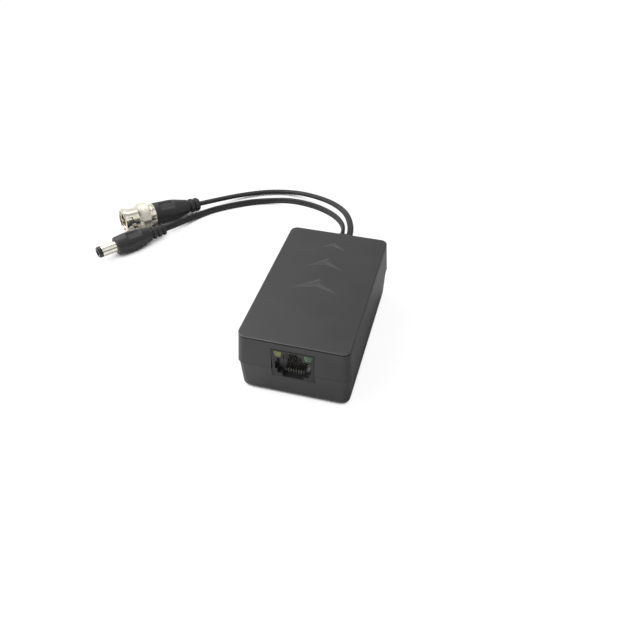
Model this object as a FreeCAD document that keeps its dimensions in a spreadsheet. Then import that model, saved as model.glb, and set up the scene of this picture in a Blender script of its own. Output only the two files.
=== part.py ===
import FreeCAD, Part
import math
import os
import sys
import Sketcher
from FreeCAD import Placement, Rotation, Vector

# A passive power and video balun: a two-part plastic box with an RJ45 port in front, and a video cord with a
# BNC plug and a power cord with a barrel plug out of the back. Millimetres. The origin is the middle of the
# box's footprint, the port looks along -Y, the cords leave along +Y.

doc = FreeCAD.newDocument("VideoBalun")
sheet = doc.addObject("Spreadsheet::Sheet", "dim")

sizes = {
    # box, both shells
    "topWidth": 43.0,
    "topLength": 72.3,
    "boxHeight": 28.3,
    "partingHeight": 14.6,
    "coverFlare": 0.8,
    "cornerRadius": 3.0,
    "wall": 2.0,
    "ceiling": 2.2,
    "topPlate": 0.7,
    "topRound": 0.45,
    "grooveHeight": 0.5,
    "grooveDepth": 0.4,
    "baseStep": 0.3,
    "baseSideDraw": 0.5,
    "baseEndDraw": 1.1,
    "baseFloor": 2.0,
    "baseRound": 2.6,
    "lipHeight": 1.2,
    "lipThickness": 0.8,
    "lipGap": 0.1,
    # chevrons on top: each from its outer apex back to its tips
    "chevronRise": 0.35,
    "largeApex": 3.4,
    "largeReach": 9.6,
    "largeSweep": 8.2,
    "largeBreadth": 5.8,
    "middleApex": 17.4,
    "middleReach": 7.6,
    "middleSweep": 7.2,
    "middleBreadth": 4.8,
    "smallApex": 28.9,
    "smallReach": 5.9,
    "smallSweep": 5.2,
    "smallBreadth": 3.3,
    "ridgeShare": 0.5,
    # screws, their wells and posts
    "screwSideInset": 4.0,
    "screwFrontInset": 5.0,
    "screwRearInset": 4.5,
    "screwShank": 3.0,
    "screwLength": 12.0,
    "screwHead": 5.6,
    "screwHeadHeight": 2.0,
    "screwHeadGap": 0.3,
    "screwHoleGap": 0.2,
    "wellWall": 1.0,
    "wellDepth": 5.2,
    "postDiameter": 6.4,
    "pilotSpare": 1.5,
    # circuit board
    "boardSideGap": 1.0,
    "boardFrontGap": 1.05,
    "boardRearGap": 6.55,
    "boardThickness": 1.6,
    "padHole": 0.9,
    "tailDrop": 0.8,
    # RJ45 jack
    "jackWidth": 16.3,
    "jackHeight": 13.6,
    "jackDepth": 21.3,
    "jackSetback": 0.5,
    "jackHeadroom": 1.8,
    "jackGap": 0.2,
    "cavityDepth": 15.5,
    "notchHalf": 4.15,
    "notchBottom": 0.45,
    "cavityHalf": 6.15,
    "cavityBottom": 1.85,
    "cavityTop": 9.65,
    "sideHalf": 6.95,
    "sideBottom": 3.95,
    "sideTop": 7.9,
    "sideDepth": 2.2,
    "latchHalf": 3.65,
    "latchTop": 11.7,
    "latchTipHalf": 2.15,
    "latchTipTop": 12.9,
    "carrierHalf": 5.6,
    "carrierDepth": 12.0,
    "carrierTop": 2.8,
    "carrierGap": 0.05,
    "pegSpread": 5.72,
    "pegBack": 12.6,
    "pegDiameter": 3.2,
    "pegLength": 3.0,
    "pegGap": 0.05,
    # contact wires of the jack
    "contactPitch": 1.02,
    "contactWidth": 0.46,
    "contactThickness": 0.3,
    "contactFloor": 0.65,
    "contactBend": 2.5,
    "contactBendTop": 2.0,
    "contactTip": 10.2,
    "contactTipHeight": 4.9,
    "contactTail": 16.9,
    "tailStagger": 2.54,
    # lamps of the jack
    "lampInner": 4.15,
    "lampOuter": 7.75,
    "lampInnerLow": 4.7,
    "lampOuterLow": 6.95,
    "lampBottom": 10.1,
    "lampTop": 13.0,
    "lampLength": 5.0,
    "lampGap": 0.05,
    "lampRecess": 0.15,
    "leadSize": 0.4,
    "leadInner": 5.4,
    "leadPitch": 1.0,
    "leadHeight": 11.3,
    "leadBehind": 0.6,
    # balun transformer and the small parts of the board
    "coreOuter": 9.5,
    "coreInner": 5.0,
    "coreHeight": 4.5,
    "coreRound": 0.4,
    "coreBack": -4.0,
    "windingThickness": 0.35,
    "windingGap": 0.05,
    "windingAngle": 150.0,
    "wireLead": 0.6,
    "fuseDiameter": 7.4,
    "fuseThickness": 3.0,
    "fuseLeadPitch": 5.1,
    "capacitorDiameter": 5.0,
    "capacitorThickness": 2.4,
    "capacitorLeadPitch": 2.5,
    "discStandoff": 1.0,
    "partSpread": 9.6,
    "fuseBack": 6.5,
    "capacitorBack": 10.5,
    "diodeDiameter": 2.7,
    "diodeLength": 5.2,
    "diodeLeadPitch": 10.0,
    "diodeBack": 2.5,
    # strain relief in the rear wall
    "exitMiddle": -1.15,
    "exitPitch": 3.5,
    "reliefWidth": 10.5,
    "reliefHeight": 6.5,
    "reliefEndWidth": 7.4,
    "reliefEndHeight": 4.8,
    "reliefLength": 15.3,
    "reliefRound": 0.46,
    "reliefRib": 0.5,
    "ribWidth": 1.3,
    "ribPitch": 2.8,
    "flangeMargin": 1.2,
    "flangeThickness": 1.6,
    "neckGap": 0.1,
    # cords
    "videoCordDiameter": 2.8,
    "powerCordDiameter": 3.0,
    "innerWireDiameter": 1.1,
    "innerWirePitch": 1.4,
    "innerWireInset": 2.8,
    # BNC plug, stations counted from its mouth
    "plugHeading": 46.5,
    "plugTilt": 5.0,
    "plugFloorGap": 0.25,
    "rimDiameter": 12.2,
    "rimLength": 1.5,
    "neckDiameter": 10.6,
    "gripStart": 7.5,
    "gripDiameter": 13.4,
    "gripLength": 5.7,
    "gripFlats": 8.0,
    "gripFlatDepth": 0.3,
    "gripCone": 1.5,
    "gripChamfer": 0.35,
    "ringBore": 9.8,
    "ringFlangeStart": 11.95,
    "ringFlange": 0.6,
    "ringCounterbore": 10.4,
    "ringRoll": 152.0,
    "entryWidth": 2.2,
    "entryDiameter": 11.14,
    "slotStart": 3.2,
    "slotWidth": 2.0,
    "slotTravel": 3.1,
    "slotPitch": 12.2,
    "detentDiameter": 2.2,
    "sleeveStart": 0.8,
    "sleeveOuter": 8.1,
    "sleeveInner": 6.6,
    "shoulderStart": 10.0,
    "shoulderDiameter": 9.6,
    "shoulderLength": 0.8,
    "spindleDiameter": 8.3,
    "spindleGap": 0.06,
    "waveThickness": 0.2,
    "thrustThickness": 0.3,
    "thrustDiameter": 9.5,
    "snapThickness": 0.4,
    "snapDiameter": 9.5,
    "snapSeat": 7.7,
    "snapGap": 0.05,
    "collarStart": 13.5,
    "collarDiameter": 10.6,
    "collarFlange": 0.8,
    "collarGroove": 0.35,
    "ferruleDiameter": 7.4,
    "ferruleLength": 6.0,
    "gasketThickness": 1.0,
    "insulatorStart": 5.4,
    "pinDiameter": 1.37,
    "pinStart": 1.6,
    "bootStart": 16.3,
    "bootFrontDiameter": 11.1,
    "bootBelt": 26.5,
    "bootBeltDiameter": 10.9,
    "bootTail": 35.3,
    "bootTailDiameter": 6.9,
    "bootCoreDiameter": 5.6,
    "bootRibDiameter": 7.2,
    "bootLastRibDiameter": 7.0,
    "bootRibWidth": 2.0,
    "bootRibs": 2.0,
    "bootRibEnd": 40.5,
    "bootEnd": 41.2,
    "bootEndDiameter": 5.8,
    "bootRoll": 18.0,
    "padStart": 19.6,
    "padLength": 7.4,
    "padWidth": 4.4,
    "padDepth": 0.6,
    "padRound": 0.9,
    # barrel plug, stations counted from its tip
    "barrelHeading": 53.4,
    "barrelTilt": 2.0,
    "barrelFloorGap": 0.2,
    "barrelDiameter": 5.5,
    "barrelBore": 4.5,
    "barrelTip": 1.9,
    "barrelTipChamfer": 0.45,
    "barrelSeat": 4.0,
    "barrelSeatDiameter": 6.4,
    "tipBore": 2.9,
    "pinBore": 2.1,
    "pinBoreDepth": 9.5,
    "innerContactRecess": 1.3,
    "handleStart": 9.4,
    "handleFrontDiameter": 8.7,
    "handleFrontRound": 0.6,
    "handleBelt": 16.0,
    "handleBeltDiameter": 9.9,
    "handleTaper": 21.5,
    "handleTaperDiameter": 9.2,
    "handleTail": 27.6,
    "handleTailDiameter": 6.7,
    "handleEnd": 35.7,
    "handleCoreDiameter": 4.6,
    "handleRibDiameter": 6.5,
    "handleLastRibDiameter": 6.0,
    "handleRibWidth": 1.5,
    "handleRibs": 3.0,
    "handleRoll": 20.0,
    "handlePadStart": 15.2,
    "handlePadLength": 8.0,
    "handlePadWidth": 3.6,
    "handlePadDepth": 0.5,
    "handlePadRound": 0.8,
}

for row, (alias, size) in enumerate(sizes.items(), start=1):
    sheet.set("A%d" % row, alias)
    sheet.set("B%d" % row, str(size))
    sheet.setAlias("B%d" % row, alias)
doc.recompute()

# Places that several pieces share, as expressions of the sheet.
partingWidth = "(dim.topWidth + 2 * dim.coverFlare)"
partingLength = "(dim.topLength + 2 * dim.coverFlare)"
baseWidth = "(%s - 2 * dim.baseStep)" % partingWidth
baseLength = "(%s - 2 * dim.baseStep)" % partingLength
floorWidth = "(%s - 2 * dim.baseSideDraw)" % baseWidth
floorLength = "(%s - 2 * dim.baseEndDraw)" % baseLength
innerWidth = "(%s - 2 * dim.wall)" % floorWidth
innerLength = "(%s - 2 * dim.wall)" % floorLength
innerRadius = "(dim.cornerRadius - dim.wall / 2)"
boardTop = "(dim.boxHeight - dim.ceiling - dim.jackHeadroom - dim.jackHeight)"
boardUnderside = "(%s - dim.boardThickness)" % boardTop
boardWidth = "(%s - 2 * dim.boardSideGap)" % innerWidth
boardFront = "(dim.boardFrontGap - %s / 2)" % innerLength
boardRear = "(%s / 2 - dim.boardRearGap)" % innerLength
innerWireBack = "(%s - dim.innerWireInset)" % boardRear
screwSpread = "(%s / 2 - dim.screwSideInset)" % innerWidth
screwFront = "(%s + dim.screwFrontInset)" % boardFront
screwRear = "(%s - dim.screwRearInset)" % boardRear
jackFront = "(dim.jackSetback - %s / 2)" % partingLength
jackRear = "(%s + dim.jackDepth)" % jackFront
wellDiameter = "(dim.screwHead + 2 * dim.screwHeadGap)"
wellTubeDiameter = "(%s + 2 * dim.wellWall)" % wellDiameter
screwHoleDiameter = "(dim.screwShank + 2 * dim.screwHoleGap)"
rearInside = "(%s / 2)" % innerLength
rearOutside = "(%s / 2)" % partingLength
reliefTip = "(%s + dim.reliefLength)" % rearOutside
spindleBore = "(dim.spindleDiameter + 2 * dim.spindleGap)"
ringEnd = "(dim.gripStart + dim.gripLength)"
shoulderEnd = "(dim.shoulderStart + dim.shoulderLength)"
thrustStart = "(dim.ringFlangeStart - dim.thrustThickness)"
snapStart = "(dim.ringFlangeStart + dim.ringFlange + dim.snapGap)"
handleSeatEnd = "(dim.handleStart + dim.barrelSeat)"


def value(expression):
    return float(sheet.evalExpression(str(expression)))


def makeBody(label):
    body = doc.addObject("PartDesign::Body", label)
    body.Label = label
    return body


def alongX(body):
    axis = [feature for feature in body.Origin.OriginFeatures if feature.Role == "X_Axis"][0]
    return (axis, [""])


# A sketch on one of the body's own planes, moved along the plane's normal by the offset.
# On XZ the normal points to -Y, on YZ to +X.
def makeSketch(body, name, plane, offset):
    sketch = body.newObject("Sketcher::SketchObject", name)
    for feature in body.Origin.OriginFeatures:
        if feature.Role == plane + "_Plane":
            sketch.AttachmentSupport = [(feature, "")]
    sketch.MapMode = "FlatFace"
    sketch.setExpression(".AttachmentOffset.Base.z", str(offset))
    return sketch


def bindPoint(sketch, geometry, position, tag, x, y):
    for kind, axis, expression in (("DistanceX", "x", x), ("DistanceY", "y", y)):
        constraint = Sketcher.Constraint(kind, -1, 1, geometry, position, value(expression))
        index = sketch.addConstraint(constraint)
        sketch.renameConstraint(index, axis + tag)
        sketch.setExpression("Constraints.%s%s" % (axis, tag), str(expression))


# A closed outline with straight sides: each corner is a pair of expressions.
def addOutline(sketch, corners, tag=""):
    first = sketch.GeometryCount
    count = len(corners)
    places = [Vector(value(x), value(y), 0) for x, y in corners]
    for i in range(count):
        sketch.addGeometry(Part.LineSegment(places[i], places[(i + 1) % count]))
    for i in range(count):
        following = first + (i + 1) % count
        sketch.addConstraint(Sketcher.Constraint("Coincident", first + i, 2, following, 1))
        bindPoint(sketch, first + i, 1, "%s%d" % (tag, i), *corners[i])


def outline(body, name, plane, offset, corners):
    sketch = makeSketch(body, name, plane, offset)
    addOutline(sketch, corners)
    return sketch


def rectangle(left, right, low, high):
    return [(left, low), (right, low), (right, high), (left, high)]


def circles(body, name, plane, offset, centres, diameter):
    sketch = makeSketch(body, name, plane, offset)
    for i, (x, y) in enumerate(centres):
        centre = Vector(value(x), value(y), 0)
        sketch.addGeometry(Part.Circle(centre, Vector(0, 0, 1), value(diameter) / 2))
        bindPoint(sketch, i, 3, "c%d" % i, x, y)
        index = sketch.addConstraint(Sketcher.Constraint("Diameter", i, value(diameter)))
        sketch.renameConstraint(index, "d%d" % i)
        sketch.setExpression("Constraints.d%d" % i, str(diameter))
    return sketch


# A rectangle with round corners about a middle point.
def roundedOutline(body, name, plane, offset, middle, width, height, radius):
    sketch = makeSketch(body, name, plane, offset)
    x, y = value(middle[0]), value(middle[1])
    r = value(radius)
    halfX, halfY = value(width) / 2, value(height) / 2
    corners = [(1, -1, 270), (1, 1, 0), (-1, 1, 90), (-1, -1, 180)]
    for i, (sideX, sideY, start) in enumerate(corners):
        centre = Vector(x + sideX * (halfX - r), y + sideY * (halfY - r), 0)
        circle = Part.Circle(centre, Vector(0, 0, 1), r)
        sketch.addGeometry(Part.ArcOfCircle(circle, math.radians(start), math.radians(start + 90)))
    for i in range(4):
        end = sketch.getPoint(i, 2)
        begin = sketch.getPoint((i + 1) % 4, 1)
        line = sketch.addGeometry(Part.LineSegment(end, begin))
        sketch.addConstraint(Sketcher.Constraint("Tangent", i, 2, line, 1))
        sketch.addConstraint(Sketcher.Constraint("Tangent", line, 2, (i + 1) % 4, 1))
        way = "Horizontal" if i % 2 else "Vertical"
        sketch.addConstraint(Sketcher.Constraint(way, line))
    for i in range(1, 4):
        sketch.addConstraint(Sketcher.Constraint("Equal", 0, i))
    datums = [
        ("radius", Sketcher.Constraint("Radius", 0, r), radius),
        ("right", Sketcher.Constraint("DistanceX", -1, 1, 4, 1, x + halfX),
            "%s + (%s) / 2" % (middle[0], width)),
        ("left", Sketcher.Constraint("DistanceX", -1, 1, 6, 1, x - halfX),
            "%s - (%s) / 2" % (middle[0], width)),
        ("top", Sketcher.Constraint("DistanceY", -1, 1, 5, 1, y + halfY),
            "%s + (%s) / 2" % (middle[1], height)),
        ("low", Sketcher.Constraint("DistanceY", -1, 1, 7, 1, y - halfY),
            "%s - (%s) / 2" % (middle[1], height)),
    ]
    for tag, constraint, expression in datums:
        index = sketch.addConstraint(constraint)
        sketch.renameConstraint(index, tag)
        sketch.setExpression("Constraints." + tag, expression)
    return sketch


def pad(body, sketch, length, backwards=False):
    feature = body.newObject("PartDesign::Pad", sketch.Name + "Pad")
    feature.Profile = sketch
    feature.setExpression("Length", str(length))
    feature.Reversed = backwards
    return feature


# A pocket cuts against its sketch's normal unless it is turned round.
def pocket(body, sketch, length, backwards=False):
    feature = body.newObject("PartDesign::Pocket", sketch.Name + "Pocket")
    feature.Profile = sketch
    feature.setExpression("Length", str(length))
    feature.Reversed = backwards
    return feature


# A full turn about the body's X axis: corners are stations and radii.
def turned(body, name, corners, cut=False):
    sketch = outline(body, name, "XY", 0, corners)
    kind = "PartDesign::Groove" if cut else "PartDesign::Revolution"
    feature = body.newObject(kind, name + "Turn")
    feature.Profile = sketch
    feature.ReferenceAxis = (sketch, ["H_Axis"])
    feature.Angle = 360
    return feature


def ringOutline(start, end, inner, outer):
    return [(start, inner), (end, inner), (end, outer), (start, outer)]


def half(diameter):
    return "(%s) / 2" % diameter


def loft(body, sketches, name, cut=False):
    kind = "PartDesign::SubtractiveLoft" if cut else "PartDesign::AdditiveLoft"
    feature = body.newObject(kind, name)
    feature.Profile = sketches[0]
    feature.Sections = sketches[1:]
    feature.Ruled = True
    return feature


def edgesWhere(feature, wanted):
    doc.recompute()
    return ["Edge%d" % (i + 1) for i, edge in enumerate(feature.Shape.Edges) if wanted(edge)]


def fillet(body, feature, wanted, radius):
    blend = body.newObject("PartDesign::Fillet", feature.Name + "Fillet")
    blend.Base = (feature, edgesWhere(feature, wanted))
    blend.setExpression("Radius", radius)
    return blend


def levelEdge(height):
    return lambda edge: all(abs(v.Z - height) < 0.001 for v in edge.Vertexes)


# Straight runs joined by tangent arcs, each as large as its two runs allow.
def routeWire(label, points):
    runs = [points[i + 1] - points[i] for i in range(len(points) - 1)]
    edges = []
    radii = []
    begin = points[0]
    for i in range(1, len(points) - 1):
        before, after = runs[i - 1], runs[i]
        turn = before.getAngle(after)
        tangent = 0.45 * min(before.Length, after.Length)
        radius = tangent / math.tan(turn / 2)
        radii.append(round(radius, 1))
        incoming = Vector(before).normalize()
        outgoing = Vector(after).normalize()
        start = points[i] - incoming * tangent
        end = points[i] + outgoing * tangent
        inward = Vector(outgoing - incoming).normalize()
        middle = points[i] + inward * (radius / math.cos(turn / 2) - radius)
        edges.append(Part.LineSegment(begin, start).toShape())
        edges.append(Part.Arc(start, middle, end).toShape())
        begin = end
    edges.append(Part.LineSegment(begin, points[-1]).toShape())
    print(label, "radii", radii)
    return Part.Wire(edges)


def makeTube(label, points, diameter):
    path = routeWire(label, points)
    direction = points[1] - points[0]
    section = Part.Wire(Part.Circle(points[0], direction, diameter / 2).toShape())
    solid = path.makePipeShell([section], True, False)
    share = solid.Volume / (path.Length * math.pi * diameter ** 2 / 4)
    print(label, "length", round(path.Length, 1), "volume against section times length", round(share, 4))
    tube = doc.addObject("Part::Feature", label)
    tube.Label = label
    tube.Shape = solid
    return tube


# How a plug lies on the table: X runs from its mouth to its cord, and the tilt lifts its mouth.
def plugTurn(heading, tilt):
    return Rotation(Vector(0, 0, 1), value(heading)) * Rotation(Vector(0, 1, 0), value(tilt))


def plugPlacement(back, turn, length, roll="0"):
    mouth = back - turn.multVec(Vector(value(length), 0, 0))
    return Placement(mouth, turn * Rotation(Vector(1, 0, 0), value(roll)))


# Height of a plug's cord end when the plug rests on the ring of this diameter at this station.
def restHeight(diameter, station, length, tilt, gap):
    return value("dim.%s / 2 * cos(dim.%s) + dim.%s - (dim.%s - %s) * sin(dim.%s)"
        % (diameter, tilt, gap, length, station, tilt))


screwPlaces = [
    (screwSpread, screwFront),
    ("-" + screwSpread, screwFront),
    (screwSpread, screwRear),
    ("-" + screwSpread, screwRear),
]


# Opening of the rear wall for the relief's neck.
def reliefWindow(body, name):
    return roundedOutline(body, name, "XZ", "-%s" % reliefTip, ("dim.exitMiddle", "dim.partingHeight"),
        "dim.reliefWidth", "dim.reliefHeight", "dim.reliefRound * dim.reliefHeight")


# Opening of the front wall for the jack.
def jackWindow(body, name):
    return outline(body, name, "XZ", rearOutside, rectangle(
        "-dim.jackWidth / 2 - dim.jackGap",
        "dim.jackWidth / 2 + dim.jackGap",
        "%s - dim.jackGap" % boardTop,
        "%s + dim.jackHeight + dim.jackGap" % boardTop))


def chevron(body, kind):
    apex = "dim.%sApex" % kind
    tipBack = "%s - dim.%sSweep" % (apex, kind)
    innerApex = "%s - dim.%sBreadth" % (apex, kind)
    ridge = "%s - dim.%sBreadth * dim.ridgeShare" % (apex, kind)
    foot = outline(body, kind + "Chevron", "XY", "dim.boxHeight", [
        ("0", apex),
        ("-dim.%sReach" % kind, tipBack),
        ("0", innerApex),
        ("dim.%sReach" % kind, tipBack)])
    peak = makeSketch(body, kind + "Peak", "XY", "dim.boxHeight + dim.chevronRise")
    peak.addGeometry(Part.Point(Vector(0, value(ridge), 0)))
    bindPoint(peak, 0, 1, "peak", "0", ridge)
    return loft(body, [foot, peak], kind + "Facets")


# Upper shell: flared skirt, shadow groove, top plate with chevrons, posts for the screws.
def makeCover():
    body = makeBody("housing_cover")
    groovePlace = "(dim.boxHeight - dim.topPlate - dim.grooveHeight)"
    middle = ("0", "0")
    low = roundedOutline(body, "skirtLow", "XY", "dim.partingHeight", middle,
        partingWidth, partingLength, "dim.cornerRadius")
    high = roundedOutline(body, "skirtHigh", "XY", groovePlace, middle,
        "dim.topWidth", "dim.topLength", "dim.cornerRadius")
    loft(body, [high, low], "skirt")
    neck = roundedOutline(body, "grooveBand", "XY", groovePlace, middle,
        "dim.topWidth - 2 * dim.grooveDepth", "dim.topLength - 2 * dim.grooveDepth",
        "dim.cornerRadius - dim.grooveDepth")
    pad(body, neck, "dim.grooveHeight")
    plate = roundedOutline(body, "topPlate", "XY", "dim.boxHeight - dim.topPlate", middle,
        "dim.topWidth", "dim.topLength", "dim.cornerRadius")
    whole = pad(body, plate, "dim.topPlate")
    rounded = fillet(body, whole, levelEdge(value("dim.boxHeight")), "dim.topRound")
    cavity = roundedOutline(body, "cavity", "XY", "dim.partingHeight", middle,
        innerWidth, innerLength, innerRadius)
    pocket(body, cavity, "dim.boxHeight - dim.ceiling - dim.partingHeight", True)
    rebate = roundedOutline(body, "rebate", "XY", "dim.partingHeight", middle,
        "%s + 2 * dim.lipThickness + 2 * dim.lipGap" % innerWidth,
        "%s + 2 * dim.lipThickness + 2 * dim.lipGap" % innerLength,
        "%s + dim.lipThickness" % innerRadius)
    pocket(body, rebate, "dim.lipHeight + dim.lipGap", True)
    posts = circles(body, "posts", "XY", boardTop, screwPlaces, "dim.postDiameter")
    pad(body, posts, "dim.boxHeight - dim.ceiling / 2 - %s" % boardTop)
    pilots = circles(body, "pilots", "XY", boardTop, screwPlaces, "dim.screwShank")
    pocket(body, pilots, "dim.screwLength + dim.wellDepth + dim.pilotSpare - %s" % boardTop, True)
    pocket(body, jackWindow(body, "port"), "%s - %s" % (rearOutside, rearInside))
    pocket(body, reliefWindow(body, "exit"), "dim.reliefLength + 3 * dim.wall", True)
    for kind in ("large", "middle", "small"):
        last = chevron(body, kind)
    body.Tip = last
    return body


# Lower shell: tray with a lip that enters the upper shell, and tubes with wells for the screws.
def makeBase():
    body = makeBody("housing_base")
    middle = ("0", "0")
    low = roundedOutline(body, "trayLow", "XY", "0", middle, floorWidth, floorLength, "dim.cornerRadius")
    high = roundedOutline(body, "trayHigh", "XY", "dim.partingHeight", middle,
        baseWidth, baseLength, "dim.cornerRadius")
    tray = loft(body, [high, low], "tray")
    fillet(body, tray, levelEdge(0), "dim.baseRound")
    lip = roundedOutline(body, "lip", "XY", "dim.partingHeight", middle,
        "%s + 2 * dim.lipThickness" % innerWidth,
        "%s + 2 * dim.lipThickness" % innerLength,
        "%s + dim.lipThickness" % innerRadius)
    pad(body, lip, "dim.lipHeight")
    cavity = roundedOutline(body, "cavity", "XY", "dim.baseFloor", middle,
        innerWidth, innerLength, innerRadius)
    pocket(body, cavity, "dim.boxHeight", True)
    tubes = circles(body, "tubes", "XY", "dim.baseFloor / 2", screwPlaces, wellTubeDiameter)
    pad(body, tubes, "%s - dim.baseFloor / 2" % boardUnderside)
    wells = circles(body, "wells", "XY", "0", screwPlaces, wellDiameter)
    pocket(body, wells, "dim.wellDepth", True)
    holes = circles(body, "holes", "XY", "0", screwPlaces, screwHoleDiameter)
    pocket(body, holes, boardUnderside, True)
    pocket(body, jackWindow(body, "port"), "%s - %s" % (rearOutside, rearInside))
    last = pocket(body, reliefWindow(body, "exit"), "dim.reliefLength + 3 * dim.wall", True)
    body.Tip = last
    return body


# Each screw is a head and a shank on one axis, seated on the floor of its well.
def makeScrews():
    body = doc.addObject("Part::Compound", "case_screws")
    body.Label = "case_screws"
    screws = []
    for i, (x, y) in enumerate(screwPlaces):
        head = doc.addObject("Part::Cylinder", "screwHead%d" % i)
        head.setExpression("Radius", "dim.screwHead / 2")
        head.setExpression("Height", "dim.screwHeadHeight")
        head.setExpression("Placement.Base.z", "dim.wellDepth - dim.screwHeadHeight")
        shank = doc.addObject("Part::Cylinder", "screwShank%d" % i)
        shank.setExpression("Radius", "dim.screwShank / 2")
        shank.setExpression("Height", "dim.screwLength")
        shank.setExpression("Placement.Base.z", "dim.wellDepth")
        for piece in (head, shank):
            piece.setExpression("Placement.Base.x", x)
            piece.setExpression("Placement.Base.y", y)
        screw = doc.addObject("Part::Fuse", "screw%d" % i)
        screw.Base = head
        screw.Tool = shank
        screws.append(screw)
    body.Links = screws
    return body


def lampLeads(side):
    return [("%s(dim.leadInner + %d * dim.leadPitch)" % (side, i), leadHoleBack) for i in range(2)]


def tailBack(i):
    return "(%s + dim.contactTail + %d * dim.tailStagger)" % (jackFront, i % 2)


def contactPlace(i):
    return "((%d - 3.5) * dim.contactPitch)" % i


leadHoleBack = "(%s + dim.leadBehind + dim.leadSize / 2)" % jackRear
discLeads = {
    "fuse": [("-dim.partSpread", "dim.fuseBack + %s * dim.fuseLeadPitch / 2" % side) for side in (-1, 1)],
    "capacitor": [
        ("dim.partSpread", "dim.capacitorBack + %s * dim.capacitorLeadPitch / 2" % side)
        for side in (-1, 1)],
}
diodeLeads = [("dim.partSpread", "dim.diodeBack + %s * dim.diodeLeadPitch / 2 - dim.diodeLength" % side)
    for side in (-1, 1)]
wirePlaces = [("dim.exitMiddle + %s * dim.innerWirePitch" % place, innerWireBack)
    for place in (-1.8, -0.7, 0.7, 1.8)]


def makeBoard():
    body = makeBody("circuit_board")
    plate = outline(body, "plate", "XY", boardUnderside, rectangle(
        "-%s / 2" % boardWidth, "%s / 2" % boardWidth, boardFront, boardRear))
    pad(body, plate, "dim.boardThickness")
    tails = [(contactPlace(i), tailBack(i)) for i in range(8)]
    leads = lampLeads("") + lampLeads("-") + discLeads["fuse"] + discLeads["capacitor"] + diodeLeads
    pegs = [("%sdim.pegSpread" % side, "%s + dim.pegBack" % jackFront) for side in ("", "-")]
    groups = (
        ("screwHoles", screwPlaces, screwHoleDiameter),
        ("tailHoles", tails + leads, "dim.padHole"),
        ("wireHoles", wirePlaces, "dim.innerWireDiameter"),
        ("pegHoles", pegs, "dim.pegDiameter + 2 * dim.pegGap"),
    )
    for name, places, diameter in groups:
        sketch = circles(body, name, "XY", boardTop, places, diameter)
        last = pocket(body, sketch, "dim.boardThickness")
    body.Tip = last
    return body


def mirrored(corners):
    return corners + [("-(%s)" % x, y) for x, y in reversed(corners)]


def aboveBoard(height):
    return "%s + %s" % (boardTop, height)


# Lamp window in an upper corner of the jack, narrower below.
def lampOutline(side, gap):
    return [
        ("%s(dim.lampInner + %s)" % (side, gap), aboveBoard("dim.lampTop - %s" % gap)),
        ("%s(dim.lampOuter - %s)" % (side, gap), aboveBoard("dim.lampTop - %s" % gap)),
        ("%s(dim.lampOuterLow - %s)" % (side, gap), aboveBoard("dim.lampBottom + %s" % gap)),
        ("%s(dim.lampInnerLow + %s)" % (side, gap), aboveBoard("dim.lampBottom + %s" % gap)),
    ]


# The jack is cut from its front face: mouth with latch steps and contact notch, lamp channels,
# then the seat of the contact carrier from behind.
def makeJack():
    body = makeBody("jack_housing")
    face = "-%s" % jackFront
    block = outline(body, "block", "XZ", face, rectangle(
        "-dim.jackWidth / 2", "dim.jackWidth / 2", boardTop, aboveBoard("dim.jackHeight")))
    pad(body, block, "dim.jackDepth", True)
    mouth = outline(body, "mouth", "XZ", face, mirrored([
        ("dim.notchHalf", aboveBoard("dim.notchBottom")),
        ("dim.notchHalf", aboveBoard("dim.cavityBottom")),
        ("dim.cavityHalf", aboveBoard("dim.cavityBottom")),
        ("dim.cavityHalf", aboveBoard("dim.cavityTop")),
        ("dim.latchHalf", aboveBoard("dim.cavityTop")),
        ("dim.latchHalf", aboveBoard("dim.latchTop")),
        ("dim.latchTipHalf", aboveBoard("dim.latchTop")),
        ("dim.latchTipHalf", aboveBoard("dim.latchTipTop"))]))
    pocket(body, mouth, "dim.cavityDepth")
    sides = outline(body, "sides", "XZ", face, rectangle(
        "-dim.sideHalf", "dim.sideHalf", aboveBoard("dim.sideBottom"), aboveBoard("dim.sideTop")))
    pocket(body, sides, "dim.sideDepth")
    seat = outline(body, "seat", "XZ", "%s - dim.carrierDepth" % face, rectangle(
        "-dim.carrierHalf - dim.carrierGap", "dim.carrierHalf + dim.carrierGap",
        aboveBoard("dim.notchBottom"), aboveBoard("dim.carrierTop + dim.carrierGap")))
    pocket(body, seat, "dim.jackDepth")
    tails = outline(body, "tails", "XZ", "%s - dim.contactTail + dim.tailDrop" % face, rectangle(
        "-dim.notchHalf", "dim.notchHalf", boardTop, aboveBoard("dim.notchBottom")))
    pocket(body, tails, "dim.jackDepth")
    for side in ("", "-"):
        channel = outline(body, "lampChannel" + ("Left" if side else "Right"), "XZ", face,
            lampOutline(side, "0"))
        pocket(body, channel, "dim.jackDepth")
    pegs = circles(body, "pegs", "XY", boardTop,
        [("%sdim.pegSpread" % side, "%s + dim.pegBack" % jackFront) for side in ("", "-")],
        "dim.pegDiameter")
    last = pad(body, pegs, "dim.pegLength", True)
    body.Tip = last
    return body


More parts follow.
